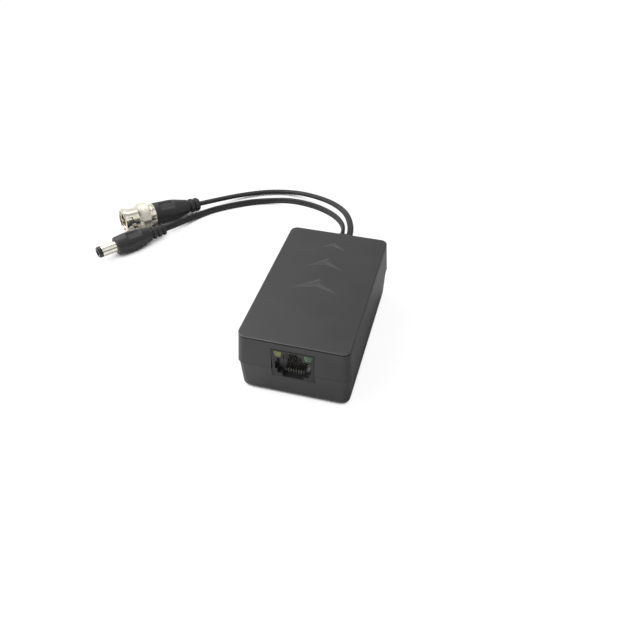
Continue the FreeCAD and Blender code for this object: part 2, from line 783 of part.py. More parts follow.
# Carrier behind the contacts, with a groove for each wire in its underside.
def makeCarrier():
    body = makeBody("jack_insert")
    block = outline(body, "block", "XZ", "-%s - dim.carrierDepth" % jackFront, rectangle(
        "-dim.carrierHalf", "dim.carrierHalf",
        aboveBoard("dim.notchBottom"), aboveBoard("dim.carrierTop")))
    pad(body, block, "dim.jackDepth - dim.carrierDepth", True)
    first = contactPlace(0)
    groove = outline(body, "groove", "XZ", "-%s - dim.carrierDepth" % jackFront, rectangle(
        "%s - dim.contactWidth / 2" % first, "%s + dim.contactWidth / 2" % first,
        aboveBoard("dim.notchBottom"), aboveBoard("dim.contactFloor + dim.contactThickness / 2")))
    cut = pocket(body, groove, "dim.jackDepth")
    row = body.newObject("PartDesign::LinearPattern", "grooveRow")
    row.Originals = [cut]
    row.Direction = (groove, ["H_Axis"])
    row.setExpression("Length", "7 * dim.contactPitch")
    row.Occurrences = 8
    body.Tip = row
    return body


# A contact is a flat spring wire: it rises from the board, runs forward along the floor of the notch,
# turns back at the bend and climbs into the cavity.
def makeContact(i):
    body = makeBody("jack_contact_%d" % (i + 1))
    floor = aboveBoard("dim.contactFloor")
    stations = [
        (tailBack(i), "%s - dim.tailDrop" % boardUnderside),
        (tailBack(i), floor),
        ("%s + dim.contactBend" % jackFront, floor),
        ("%s + dim.contactBend" % jackFront, aboveBoard("dim.contactBendTop")),
        ("%s + dim.contactTip" % jackFront, aboveBoard("dim.contactTipHeight")),
    ]
    path = makeSketch(body, "path", "YZ", contactPlace(i))
    for j in range(len(stations) - 1):
        ends = [Vector(value(x), value(y), 0) for x, y in stations[j:j + 2]]
        path.addGeometry(Part.LineSegment(*ends))
        bindPoint(path, j, 1, "p%d" % j, *stations[j])
        if j:
            path.addConstraint(Sketcher.Constraint("Coincident", j - 1, 2, j, 1))
    bindPoint(path, len(stations) - 2, 2, "end", *stations[-1])
    section = outline(body, "section", "XY", "%s - dim.tailDrop" % boardUnderside, rectangle(
        "%s - dim.contactWidth / 2" % contactPlace(i),
        "%s + dim.contactWidth / 2" % contactPlace(i),
        "%s - dim.contactThickness / 2" % tailBack(i),
        "%s + dim.contactThickness / 2" % tailBack(i)))
    wire = body.newObject("PartDesign::AdditivePipe", "wire")
    wire.Profile = section
    wire.Spine = path
    wire.Transition = "Right corner"
    body.Tip = wire
    return body


def makeLamp(label, side):
    body = makeBody(label)
    lens = outline(body, "lens", "XZ", "-%s - dim.lampRecess" % jackFront, lampOutline(side, "dim.lampGap"))
    body.Tip = pad(body, lens, "dim.lampLength", True)
    return body


# Two bent square leads behind each lamp, down through the board.
def makeLampLeads(label, side):
    body = doc.addObject("Part::Compound", label)
    body.Label = label
    leads = []
    back = "%s + dim.lampRecess + dim.lampLength" % jackFront
    low = "%s - dim.tailDrop" % boardUnderside
    for i, (x, y) in enumerate(lampLeads(side)):
        run = doc.addObject("Part::Box", "%sRun%d" % (label, i))
        run.setExpression("Length", "dim.leadSize")
        run.setExpression("Width", "%s + dim.leadSize / 2 - (%s)" % (y, back))
        run.setExpression("Height", "dim.leadSize")
        run.setExpression("Placement.Base.y", back)
        run.setExpression("Placement.Base.z", aboveBoard("dim.leadHeight"))
        drop = doc.addObject("Part::Box", "%sDrop%d" % (label, i))
        drop.setExpression("Length", "dim.leadSize")
        drop.setExpression("Width", "dim.leadSize")
        drop.setExpression("Height", "%s - (%s)" % (aboveBoard("dim.leadHeight + dim.leadSize"), low))
        drop.setExpression("Placement.Base.y", "%s - dim.leadSize / 2" % y)
        drop.setExpression("Placement.Base.z", low)
        for piece in (run, drop):
            piece.setExpression("Placement.Base.x", "%s - dim.leadSize / 2" % x)
        lead = doc.addObject("Part::Fuse", "%sLead%d" % (label, i))
        lead.Base = run
        lead.Tool = drop
        leads.append(lead)
    body.Links = leads
    return body


# Toroid that lies on the board: its section is turned about the upright axis through its middle.
def makeTransformer():
    lift = "(%s + dim.windingThickness + dim.windingGap)" % boardTop
    core = makeBody("transformer_core")
    disc = circles(core, "disc", "XY", lift, [("0", "dim.coreBack")], "dim.coreOuter")
    pad(core, disc, "dim.coreHeight")
    hole = circles(core, "hole", "XY", lift, [("0", "dim.coreBack")], "dim.coreInner")
    bored = pocket(core, hole, "dim.coreHeight", True)
    core.Tip = fillet(core, bored, lambda edge: len(edge.Vertexes) == 1, "dim.coreRound")
    winding = doc.addObject("Part::Compound", "transformer_winding")
    winding.Label = "transformer_winding"
    halves = []
    spare = value("dim.windingGap")
    thick = value("dim.windingThickness")
    inner = value("dim.coreInner") / 2 - spare - thick
    outer = value("dim.coreOuter") / 2 + spare + thick
    height = value("dim.coreHeight") + 2 * (spare + thick)
    place = Vector(0, value("dim.coreBack"), value(boardTop))
    for turn in (0, 180):
        sleeve = Part.makeCylinder(outer, height, place, Vector(0, 0, 1), value("dim.windingAngle"))
        sleeve = sleeve.cut(Part.makeCylinder(inner, height, place))
        kept = Part.makeCylinder(outer - thick, height - 2 * thick, place + Vector(0, 0, thick))
        sleeve = sleeve.cut(kept.cut(Part.makeCylinder(inner + thick, height, place)))
        sleeve.rotate(place, Vector(0, 0, 1), turn)
        piece = doc.addObject("Part::Feature", "sleeve%d" % turn)
        piece.Shape = sleeve
        halves.append(piece)
    winding.Links = halves
    return [core, winding]


# A disc that stands on two leads.
def makeDisc(label, kind, side, back):
    body = makeBody(label)
    centre = aboveBoard("dim.discStandoff + dim.%sDiameter / 2" % kind)
    disc = circles(body, "disc", "YZ", "%sdim.partSpread - dim.%sThickness / 2" % (side, kind),
        [(back, centre)], "dim.%sDiameter" % kind)
    whole = pad(body, disc, "dim.%sThickness" % kind)
    rounded = fillet(body, whole, lambda edge: len(edge.Vertexes) == 1, "dim.coreRound")
    low = "%s - dim.tailDrop" % boardUnderside
    leads = circles(body, "leads", "XY", low, discLeads[kind], "dim.wireLead")
    body.Tip = pad(body, leads, "%s - (%s)" % (centre, low))
    return body


# Axial diode on bent leads, its axis along Y.
def makeDiode():
    body = makeBody("surge_diode")
    x = "dim.partSpread"
    middle = "dim.diodeBack - dim.diodeLength"
    height = aboveBoard("dim.diodeDiameter / 2")
    case = circles(body, "case", "XZ", "-(%s) - dim.diodeLength / 2" % middle, [(x, height)],
        "dim.diodeDiameter")
    pad(body, case, "dim.diodeLength")
    axis = circles(body, "axis", "XZ", "-(%s) - dim.diodeLeadPitch / 2" % middle, [(x, height)], "dim.wireLead")
    pad(body, axis, "dim.diodeLeadPitch")
    low = "%s - dim.tailDrop" % boardUnderside
    leads = circles(body, "leads", "XY", low, diodeLeads, "dim.wireLead")
    body.Tip = pad(body, leads, "%s + dim.wireLead / 2 - (%s)" % (height, low))
    return body


# Moulded relief: flange inside the wall, neck through it, tapering ribbed stub outside.
def makeRelief():
    body = makeBody("strain_relief")
    middle = ("dim.exitMiddle", "dim.partingHeight")

    def section(name, y, width, height):
        return roundedOutline(body, name, "XZ", "-(%s)" % y, middle, width, height,
            "dim.reliefRound * (%s)" % height)

    neckWidth = "dim.reliefWidth - 2 * dim.neckGap"
    neckHeight = "dim.reliefHeight - 2 * dim.neckGap"
    flange = section("flange", rearInside, "dim.reliefWidth + 2 * dim.flangeMargin",
        "dim.reliefHeight + 2 * dim.flangeMargin")
    pad(body, flange, "dim.flangeThickness")
    neck = section("neck", rearInside, neckWidth, neckHeight)
    pad(body, neck, "%s - %s" % (rearOutside, rearInside), True)
    near = section("near", rearOutside, neckWidth + " - 2 * dim.reliefRib",
        neckHeight + " - 2 * dim.reliefRib")
    far = section("far", reliefTip, "dim.reliefEndWidth - dim.reliefRib",
        "dim.reliefEndHeight - dim.reliefRib")
    last = loft(body, [near, far], "stub")
    count = int(value("dim.reliefLength / dim.ribPitch"))
    for i in range(count):
        start = "(%s + dim.reliefLength - dim.ribWidth - %d * dim.ribPitch)" % (rearOutside, i)
        grow = "((%d * dim.ribPitch + dim.ribWidth) / dim.reliefLength)" % i
        width = "dim.reliefEndWidth + (dim.reliefWidth - dim.reliefEndWidth) * %s" % grow
        height = "dim.reliefEndHeight + (dim.reliefHeight - dim.reliefEndHeight) * %s" % grow
        rib = section("rib%d" % i, start, width, height)
        last = pad(body, rib, "dim.ribWidth", True)
    body.Tip = last
    return body


# Coupling ring of the BNC plug. Two bayonet slots lie opposite each other: a straight entry under the rim,
# a window through the neck, a helical ramp that tightens the joint and a round seat at its end.
def makeRing(placement):
    body = makeBody("bnc_coupling_ring")
    bore = half("dim.ringBore")
    flangeEnd = "dim.ringFlangeStart + dim.ringFlange"
    turned(body, "profile", [
        ("0", bore),
        ("dim.ringFlangeStart", bore),
        ("dim.ringFlangeStart", half(spindleBore)),
        (flangeEnd, half(spindleBore)),
        (flangeEnd, half("dim.ringCounterbore")),
        (ringEnd, half("dim.ringCounterbore")),
        (ringEnd, half("dim.gripDiameter") + " - dim.gripChamfer"),
        ("%s - dim.gripChamfer" % ringEnd, half("dim.gripDiameter")),
        ("dim.gripStart + dim.gripCone", half("dim.gripDiameter")),
        ("dim.gripStart", half("dim.neckDiameter")),
        ("dim.rimLength", half("dim.neckDiameter")),
        ("dim.rimLength", half("dim.rimDiameter")),
        ("dim.gripChamfer", half("dim.rimDiameter")),
        ("0", half("dim.rimDiameter") + " - dim.gripChamfer")])
    outside = "dim.gripDiameter"
    flat = outline(body, "flat", "YZ", "dim.gripStart", rectangle(
        half("dim.gripDiameter") + " - dim.gripFlatDepth", outside,
        "-dim.gripDiameter", "dim.gripDiameter"))
    cut = pocket(body, flat, "dim.gripLength", True)
    flats = body.newObject("PartDesign::PolarPattern", "flats")
    flats.Originals = [cut]
    flats.Axis = alongX(body)
    flats.Angle = 360
    flats.setExpression("Occurrences", "dim.gripFlats")
    entry = outline(body, "entry", "YZ", "0", rectangle(
        half("dim.ringBore") + " - dim.gripChamfer", half("dim.entryDiameter"),
        "-dim.entryWidth / 2", "dim.entryWidth / 2"))
    entryCut = pocket(body, entry, "dim.slotStart + dim.slotWidth / 2", True)
    window = outline(body, "window", "YZ", "dim.rimLength", rectangle(
        half("dim.ringBore") + " - dim.gripChamfer", half("dim.gripDiameter"),
        "-dim.entryWidth / 2", "dim.entryWidth / 2"))
    windowCut = pocket(body, window, "dim.slotStart + dim.slotWidth / 2 - dim.rimLength", True)
    slot = outline(body, "slot", "XY", "0", rectangle(
        "dim.slotStart - dim.slotWidth / 2", "dim.slotStart + dim.slotWidth / 2",
        half("dim.ringBore") + " - dim.gripChamfer", half("dim.gripDiameter")))
    ramp = body.newObject("PartDesign::SubtractiveHelix", "ramp")
    ramp.Profile = slot
    ramp.ReferenceAxis = (slot, ["H_Axis"])
    ramp.Mode = 0
    ramp.setExpression("Pitch", "dim.slotPitch")
    ramp.setExpression("Height", "dim.slotTravel")
    # the round seat is drilled at the helix's end, turned there with its plane
    seat = circles(body, "seat", "XZ", "0", [("dim.slotStart + dim.slotTravel", "0")], "dim.detentDiameter")
    seat.setExpression(".AttachmentOffset.Rotation.Axis.x", "1")
    seat.setExpression(".AttachmentOffset.Rotation.Axis.z", "0")
    seat.setExpression(".AttachmentOffset.Rotation.Angle", "360 * dim.slotTravel / dim.slotPitch")
    seatCut = pocket(body, seat, "dim.gripDiameter")
    pair = body.newObject("PartDesign::PolarPattern", "pair")
    pair.Originals = [entryCut, windowCut, ramp, seatCut]
    pair.Axis = alongX(body)
    pair.Angle = 360
    pair.Occurrences = 2
    body.Tip = pair
    body.Placement = placement
    return body


# Plug body: thin outer contact, shoulder, spindle for the ring, rear collar and ferrule.
def makePlugBody(placement):
    body = makeBody("bnc_body")
    inner = half("dim.sleeveInner")
    collar = half("dim.collarDiameter")
    ferruleEnd = "dim.bootStart + dim.ferruleLength"
    turned(body, "profile", [
        ("dim.sleeveStart", inner),
        (ferruleEnd, inner),
        (ferruleEnd, half("dim.ferruleDiameter")),
        ("dim.bootStart", half("dim.ferruleDiameter")),
        ("dim.bootStart", collar),
        ("dim.collarStart + dim.collarFlange + dim.collarGroove", collar),
        ("dim.collarStart + dim.collarFlange + dim.collarGroove", collar + " - dim.collarGroove"),
        ("dim.collarStart + dim.collarFlange", collar + " - dim.collarGroove"),
        ("dim.collarStart + dim.collarFlange", collar),
        ("dim.collarStart", collar),
        ("dim.collarStart", half("dim.spindleDiameter")),
        ("%s + dim.snapThickness" % snapStart, half("dim.spindleDiameter")),
        ("%s + dim.snapThickness" % snapStart, half("dim.snapSeat")),
        (snapStart, half("dim.snapSeat")),
        (snapStart, half("dim.spindleDiameter")),
        (shoulderEnd, half("dim.spindleDiameter")),
        (shoulderEnd, half("dim.shoulderDiameter")),
        ("dim.shoulderStart", half("dim.shoulderDiameter")),
        ("dim.shoulderStart", half("dim.sleeveOuter")),
        ("dim.sleeveStart", half("dim.sleeveOuter"))])
    body.Placement = placement
    return body


def makeTurnedPart(label, corners, placement):
    body = makeBody(label)
    turned(body, "profile", corners)
    body.Placement = placement
    return body


# Wave washer at rest: a thin band whose height swings three times round, between shoulder and thrust washer.
def makeWaveWasher(placement):
    inner = value(half(spindleBore))
    outer = value(half("dim.thrustDiameter"))
    thick = value("dim.waveThickness")
    low = value(shoulderEnd)
    rise = value(thrustStart) - low - thick
    rings = []
    for radius in (inner, outer):
        for shift in (0, thick):
            points = []
            for i in range(24):
                angle = 2 * math.pi * i / 24
                height = low + shift + rise * (1 - math.cos(3 * angle)) / 2
                points.append(Vector(height, radius * math.cos(angle), radius * math.sin(angle)))
            curve = Part.BSplineCurve()
            curve.interpolate(Points=points, PeriodicFlag=True)
            rings.append(Part.Wire(curve.toShape()))
    faces = [Part.makeRuledSurface(rings[a], rings[b]) for a, b in ((0, 1), (1, 3), (3, 2), (2, 0))]
    shell = Part.makeShell([face for group in faces for face in group.Faces])
    shell.sewShape()
    solid = Part.makeSolid(shell)
    if solid.Volume < 0:
        solid.reverse()
    washer = doc.addObject("Part::Feature", "bnc_wave_washer")
    washer.Label = "bnc_wave_washer"
    washer.Shape = solid
    washer.Placement = placement
    return washer


# Rings along a tapering tail: stations and radii of the outline from its thick end to its thin end.
def ribbedTail(start, end, core, first, final, width, ribs):
    count = int(value(ribs))
    corners = []
    for i in range(count):
        share = (i + 1) / count
        stop = "(%s + (%s - (%s)) * %s)" % (start, end, start, share)
        radius = half("%s + ((%s) - (%s)) * %s" % (first, final, first, i / max(count - 1, 1)))
        corners += [
            ("%s - %s" % (stop, width), half(core)),
            ("%s - %s" % (stop, width), radius),
            (stop, radius)]
        if i < count - 1:
            corners.append((stop, half(core)))
    return corners


# A flat finger pad sunk into the top of a moulded grip and, by its pattern, into the underside.
def addGripPads(body, start, length, width, height, radius):
    pads = roundedOutline(body, "gripPad", "XY", height, ("%s + %s / 2" % (start, length), "0"),
        length, width, radius)
    cut = pocket(body, pads, height, True)
    pair = body.newObject("PartDesign::PolarPattern", "gripPads")
    pair.Originals = [cut]
    pair.Axis = alongX(body)
    pair.Angle = 360
    pair.Occurrences = 2
    body.Tip = pair


def makeBoot(placement):
    body = makeBody("bnc_boot")
    ferruleEnd = "dim.bootStart + dim.ferruleLength"
    bore = half("dim.ferruleDiameter")
    corners = [
        ("dim.bootEnd", "0"),
        (ferruleEnd, "0"),
        (ferruleEnd, bore),
        ("dim.bootStart", bore),
        ("dim.bootStart", half("dim.bootFrontDiameter")),
        ("dim.bootBelt", half("dim.bootBeltDiameter")),
        ("dim.bootTail", half("dim.bootTailDiameter")),
        ("dim.bootTail", half("dim.bootCoreDiameter")),
    ]
    corners += ribbedTail("dim.bootTail", "dim.bootRibEnd", "dim.bootCoreDiameter", "dim.bootRibDiameter",
        "dim.bootLastRibDiameter", "dim.bootRibWidth", "dim.bootRibs")
    corners += [
        ("dim.bootRibEnd", half("dim.bootEndDiameter")),
        ("dim.bootEnd", half("dim.bootEndDiameter")),
    ]
    turned(body, "profile", corners)
    addGripPads(body, "dim.padStart", "dim.padLength", "dim.padWidth",
        half("dim.bootBeltDiameter") + " - dim.padDepth", "dim.padRound")
    body.Placement = placement
    return body


def makeHandle(placement):
    body = makeBody("barrel_plug_handle")
    seat = half("dim.barrelSeatDiameter")
    corners = [
        ("dim.handleEnd", "0"),
        (handleSeatEnd, "0"),
        (handleSeatEnd, seat),
        ("dim.handleStart", seat),
        ("dim.handleStart", half("dim.handleFrontDiameter") + " - dim.handleFrontRound"),
        ("dim.handleStart + dim.handleFrontRound", half("dim.handleFrontDiameter")),
        ("dim.handleBelt", half("dim.handleBeltDiameter")),
        ("dim.handleTaper", half("dim.handleTaperDiameter")),
        ("dim.handleTail", half("dim.handleTailDiameter")),
        ("dim.handleTail", half("dim.handleCoreDiameter")),
    ]
    corners += ribbedTail("dim.handleTail", "dim.handleEnd", "dim.handleCoreDiameter",
        "dim.handleRibDiameter", "dim.handleLastRibDiameter", "dim.handleRibWidth", "dim.handleRibs")
    turned(body, "profile", corners)
    addGripPads(body, "dim.handlePadStart", "dim.handlePadLength", "dim.handlePadWidth",
        half("dim.handleBeltDiameter") + " - dim.handlePadDepth", "dim.handlePadRound")
    body.Placement = placement
    return body


# The barrel: sleeve with a collar inside the handle, insulating tip that also lines the sleeve, and the
# inner contact for the pin.
def makeBarrel(placement):
    sleeve = makeTurnedPart("barrel_sleeve", [
        ("dim.barrelTip", half("dim.barrelBore")),
        (handleSeatEnd, half("dim.barrelBore")),
        (handleSeatEnd, half("dim.barrelSeatDiameter")),
        ("dim.handleStart", half("dim.barrelSeatDiameter")),
        ("dim.handleStart", half("dim.barrelDiameter")),
        ("dim.barrelTip", half("dim.barrelDiameter"))], placement)
    insulator = makeTurnedPart("barrel_insulator", [
        ("0", half("dim.tipBore")),
        (handleSeatEnd, half("dim.tipBore")),
        (handleSeatEnd, half("dim.barrelBore")),
        ("dim.barrelTip", half("dim.barrelBore")),
        ("dim.barrelTip", half("dim.barrelDiameter")),
        ("dim.barrelTipChamfer", half("dim.barrelDiameter")),
        ("0", half("dim.barrelDiameter") + " - dim.barrelTipChamfer")], placement)
    contact = makeTurnedPart("barrel_inner_contact", [
        ("dim.innerContactRecess", half("dim.pinBore")),
        ("dim.pinBoreDepth", half("dim.pinBore")),
        ("dim.pinBoreDepth", "0"),
        (handleSeatEnd, "0"),
        (handleSeatEnd, half("dim.tipBore")),
        ("dim.innerContactRecess", half("dim.tipBore"))], placement)
    return [sleeve, insulator, contact]


# Cord routes, from the relief to the plug. Their points are chosen by hand.
exitEnd = value(reliefTip)
exitHeight = value("dim.partingHeight")
powerExit = value("dim.exitMiddle - dim.exitPitch / 2")
videoExit = value("dim.exitMiddle + dim.exitPitch / 2")
plugWay = plugTurn("dim.plugHeading", "dim.plugTilt")
barrelWay = plugTurn("dim.barrelHeading", "dim.barrelTilt")
plugHeight = restHeight("gripDiameter", ringEnd, "bootEnd", "plugTilt", "plugFloorGap")
barrelHeight = restHeight("handleBeltDiameter", "dim.handleBelt", "handleEnd", "barrelTilt", "barrelFloorGap")
barrelBack = Vector(-94.2, 50.8, barrelHeight)
plugBack = Vector(-86.4, 76.8, plugHeight)
powerRoute = [
    Vector(powerExit, exitEnd, exitHeight),
    Vector(powerExit, 59.2, exitHeight),
    Vector(-7.8, 68.8, 13.2),
    Vector(-15.5, 78.2, 10.4),
    Vector(-26.5, 87.4, 7.0),
    Vector(-40.4, 93.8, 3.8),
    Vector(-52.4, 94.0, 1.6),
    Vector(-63.7, 89.3, 1.6),
    Vector(-77.7, 79.0, 1.6),
    Vector(-83.9, 71.2, 1.8),
    Vector(-87.1, 65.0, 2.6),
    Vector(-89.3, 59.2, 3.6),
    barrelBack + barrelWay.multVec(Vector(4.5, 0, 0)),
    barrelBack,
]
videoRoute = [
    Vector(videoExit, exitEnd, exitHeight),
    Vector(videoExit, 58.8, exitHeight),
    Vector(-4.2, 73.0, 13.0),
    Vector(-11.1, 84.5, 9.8),
    Vector(-20.7, 95.1, 6.2),
    Vector(-34.4, 103.6, 2.8),
    Vector(-45.6, 105.5, 1.5),
    Vector(-56.9, 102.5, 1.5),
    Vector(-66.8, 96.7, 1.8),
    Vector(-74.2, 90.2, 2.6),
    plugBack + plugWay.multVec(Vector(5.5, 0, 0)),
    plugBack,
]


# A wire inside the box, from the relief's flange down through its hole in the board.
def innerWire(label, index):
    x = value(wirePlaces[index][0])
    back = value(innerWireBack)
    low = value(boardUnderside) - value("dim.tailDrop")
    top = value(boardTop)
    start = value("%s - dim.flangeThickness" % rearInside)
    height = value("dim.partingHeight")
    points = [
        Vector(x, start, height),
        Vector(x, start - (start - back) / 3, height),
        Vector(x, back + 1.2, top + 2.8),
        Vector(x, back, top + 1.2),
        Vector(x, back, low),
    ]
    return makeTube(label, points, value("dim.innerWireDiameter"))


plugFrame = plugPlacement(plugBack, plugWay, "dim.bootEnd")
ringFrame = plugPlacement(plugBack, plugWay, "dim.bootEnd", "dim.ringRoll")
bootFrame = plugPlacement(plugBack, plugWay, "dim.bootEnd", "dim.bootRoll")
barrelFrame = plugPlacement(barrelBack, barrelWay, "dim.handleEnd")
handleFrame = plugPlacement(barrelBack, barrelWay, "dim.handleEnd", "dim.handleRoll")

pieces = [makeBase(), makeCover(), makeScrews(), makeBoard(), makeJack(), makeCarrier()]
pieces += [makeContact(i) for i in range(8)]
pieces += [makeLamp("lamp_yellow", "-"), makeLamp("lamp_green", "")]
pieces += [makeLampLeads("lamp_yellow_leads", "-"), makeLampLeads("lamp_green_leads", "")]
pieces += makeTransformer()
pieces += [
    makeDisc("resettable_fuse", "fuse", "-", "dim.fuseBack"),
    makeDisc("ceramic_capacitor", "capacitor", "", "dim.capacitorBack"),
    makeDiode(),
    makeRelief(),
]
for index, label in enumerate(("wire_power_plus", "wire_power_minus", "wire_video_core", "wire_video_shield")):
    pieces.append(innerWire(label, index))
pieces += [
    makeTube("power_cord", powerRoute, value("dim.powerCordDiameter")),
    makeTube("video_cord", videoRoute, value("dim.videoCordDiameter")),
    makeRing(ringFrame),
    makePlugBody(plugFrame),
    makeBoot(bootFrame),
    makeWaveWasher(plugFrame),
    makeTurnedPart("bnc_thrust_washer", ringOutline(thrustStart, "dim.ringFlangeStart",
        half(spindleBore), half("dim.thrustDiameter")), plugFrame),
    makeTurnedPart("bnc_retaining_ring", ringOutline(snapStart, "%s + dim.snapThickness" % snapStart,
        half("dim.snapSeat"), half("dim.snapDiameter")), plugFrame),
    makeTurnedPart("bnc_gasket", ringOutline("dim.shoulderStart - dim.gasketThickness",
        "dim.shoulderStart", half("dim.sleeveOuter"), half("dim.shoulderDiameter")), plugFrame),
    makeTurnedPart("bnc_insulator", ringOutline("dim.insulatorStart", "dim.bootStart",
        half("dim.pinDiameter"), half("dim.sleeveInner")), plugFrame),
    makeTurnedPart("bnc_centre_pin", [
        ("dim.bootStart", "0"),
        ("dim.bootStart", half("dim.pinDiameter")),
        ("dim.pinStart + dim.pinDiameter / 2", half("dim.pinDiameter")),
        ("dim.pinStart", half("dim.pinDiameter") + " / 3"),
        ("dim.pinStart", "0")], plugFrame),
]
pieces.append(makeHandle(handleFrame))
pieces += makeBarrel(barrelFrame)

doc.recompute()
failed = [o.Name for o in doc.Objects if "Invalid" in o.State or "Error" in o.State]
for piece in pieces:
    shape = piece.Shape
    if shape.isNull() or not shape.isValid() or not shape.Solids:
        failed.append(piece.Label)
if failed:
    sys.exit("failed: " + ", ".join(failed))

os.makedirs("parts", exist_ok=True)
for piece in pieces:
    piece.Shape.exportStep("parts/%s.step" % piece.Label)
print("wrote", len(pieces), "nodes")
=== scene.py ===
import math
import bmesh
import bpy
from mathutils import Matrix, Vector


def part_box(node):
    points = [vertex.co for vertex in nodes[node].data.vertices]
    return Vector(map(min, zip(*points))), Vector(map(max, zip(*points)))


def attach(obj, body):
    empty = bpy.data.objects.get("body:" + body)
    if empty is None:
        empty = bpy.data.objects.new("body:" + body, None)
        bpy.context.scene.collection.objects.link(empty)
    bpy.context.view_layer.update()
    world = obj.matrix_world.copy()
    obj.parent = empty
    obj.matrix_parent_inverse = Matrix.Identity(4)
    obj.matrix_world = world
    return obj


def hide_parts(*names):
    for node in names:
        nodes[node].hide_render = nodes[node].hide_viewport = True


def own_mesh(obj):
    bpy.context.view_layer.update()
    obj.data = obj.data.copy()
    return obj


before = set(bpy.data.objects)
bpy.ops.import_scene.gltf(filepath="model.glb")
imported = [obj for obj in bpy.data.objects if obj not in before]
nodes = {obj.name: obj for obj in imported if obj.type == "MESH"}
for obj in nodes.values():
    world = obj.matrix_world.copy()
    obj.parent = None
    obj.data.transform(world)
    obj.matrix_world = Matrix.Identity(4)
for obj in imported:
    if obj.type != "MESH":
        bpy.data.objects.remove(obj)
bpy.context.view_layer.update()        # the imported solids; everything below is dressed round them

mm = 0.001


def paint(red, green, blue):        # a colour as it reads on screen, 0 to 255
    def linear(level):
        level /= 255
        return level / 12.92 if level <= 0.04045 else ((level + 0.055) / 1.055) ** 2.4
    return (linear(red), linear(green), linear(blue), 1.0)


# a socket that adds its own Math nodes
class Reading:
    def __init__(self, bench, socket):
        self.bench = bench
        self.socket = socket

    def maths(self, operation, first, second):
        return self.bench.node("ShaderNodeMath", {"operation": operation}, {0: first, 1: second})

    def __add__(self, other):
        return self.maths("ADD", self, other)

    def __sub__(self, other):
        return self.maths("SUBTRACT", self, other)

    def __rsub__(self, other):
        return self.maths("SUBTRACT", other, self)

    def __mul__(self, other):
        return self.maths("MULTIPLY", self, other)

    def __truediv__(self, other):
        return self.maths("DIVIDE", self, other)

    def __gt__(self, other):
        return self.maths("GREATER_THAN", self, other)

    def __lt__(self, other):
        return self.maths("LESS_THAN", self, other)

    __radd__ = __add__
    __rmul__ = __mul__


# a node tree, and one way to put any node on it
class Bench:
    def __init__(self, tree):
        self.tree = tree

    def plug(self, socket, value):
        if isinstance(value, Reading):
            self.tree.links.new(value.socket, socket)
        else:
            socket.default_value = value

    def node(self, kind, settings={}, sockets={}, output=0):
        made = self.tree.nodes.new(kind)
        for key, value in settings.items():
            setattr(made, key, value)
        for key, value in sockets.items():
            self.plug(made.inputs[key], value)
        return Reading(self, made.outputs[output])

    def unsigned(self, value):
        return self.node("ShaderNodeMath", {"operation": "ABSOLUTE"}, {0: value})

    def larger(self, first, second):
        return self.node("ShaderNodeMath", {"operation": "MAXIMUM"}, {0: first, 1: second})

    def part(self, vector, axis):        # 0, 1 or 2 for x, y or z
        return self.node("ShaderNodeSeparateXYZ", {}, {0: vector}, output=axis)

    def blend(self, share, first, second):
        return self.node("ShaderNodeMix", {"data_type": "RGBA"}, {0: share, 6: first, 7: second}, output=2)

    def span(self, source, low, high, start=0.0, end=1.0):        # maps a reading onto a range
        return self.node("ShaderNodeMapRange", {"clamp": True}, {
            "Value": source, "From Min": low, "From Max": high, "To Min": start, "To Max": end})


class Finish(Bench):
    def __init__(self, name, **plain):
        self.material = bpy.data.materials.new(name)
        self.material.use_nodes = True
        super().__init__(self.material.node_tree)
        self.shader = self.tree.nodes["Principled BSDF"]
        self.surface = self.tree.nodes["Material Output"].inputs["Surface"]
        self.feed(**plain)

    def feed(self, **values):        # base_color=... reaches Base Color
        for name, value in values.items():
            socket = " ".join(word if word == "IOR" else word.capitalize() for word in name.split("_"))
            self.plug(self.shader.inputs[socket], value)

    def place(self):        # object coordinates, which are the frame's own metres
        return self.node("ShaderNodeTexCoord", output=3)

    def noise(self, size, detail=2.0, roughness=0.5, where=None):        # size of one blot in metres
        return self.node("ShaderNodeTexNoise", {}, {
            "Vector": where or self.place(), "Scale": 1 / size, "Detail": detail, "Roughness": roughness})

    def bump(self, height, depth):        # depth in metres
        return self.node("ShaderNodeBump", {}, {"Height": height, "Distance": depth, "Strength": 1.0})


# camera, at the photograph's viewing angle
view = {
    "place": (0.05349, -0.19762, 0.19423),
    "pitch": 47.812,
    "heading": 14.944,
    "lens": 37.12,
    "sensor": 36.0,
}
camera = bpy.data.objects.new("camera", bpy.data.cameras.new("camera"))
bpy.context.scene.collection.objects.link(camera)
camera.location = view["place"]
camera.rotation_euler = (math.radians(view["pitch"]), 0, math.radians(view["heading"]))
camera.data.lens = view["lens"]
camera.data.sensor_width = view["sensor"]
camera.data.clip_start = 0.01
bpy.context.scene.camera = camera
bpy.context.scene.view_settings.view_transform = "Standard"
print("camera set")


# how both plugs lie on the table, as in the solids: the heading runs from mouth to cord, the tilt lifts the mouth
bnc = {"heading": 46.5, "tilt": 5.0, "back": (-86.4, 76.8, 4.484), "length": 41.2}
barrel = {"heading": 53.4, "tilt": 2.0, "back": (-94.2, 50.8, 4.459), "length": 35.7}
for plug in (bnc, barrel):
    heading, tilt = math.radians(plug["heading"]), math.radians(plug["tilt"])
    way = Vector((math.cos(heading) * math.cos(tilt), math.sin(heading) * math.cos(tilt), -math.sin(tilt)))
    side = Vector((-math.sin(heading), math.cos(heading), 0))
    plug["way"], plug["side"], plug["up"] = way, side, way.cross(side)
    plug["mouth"] = (Vector(plug["back"]) - way * plug["length"]) * mm


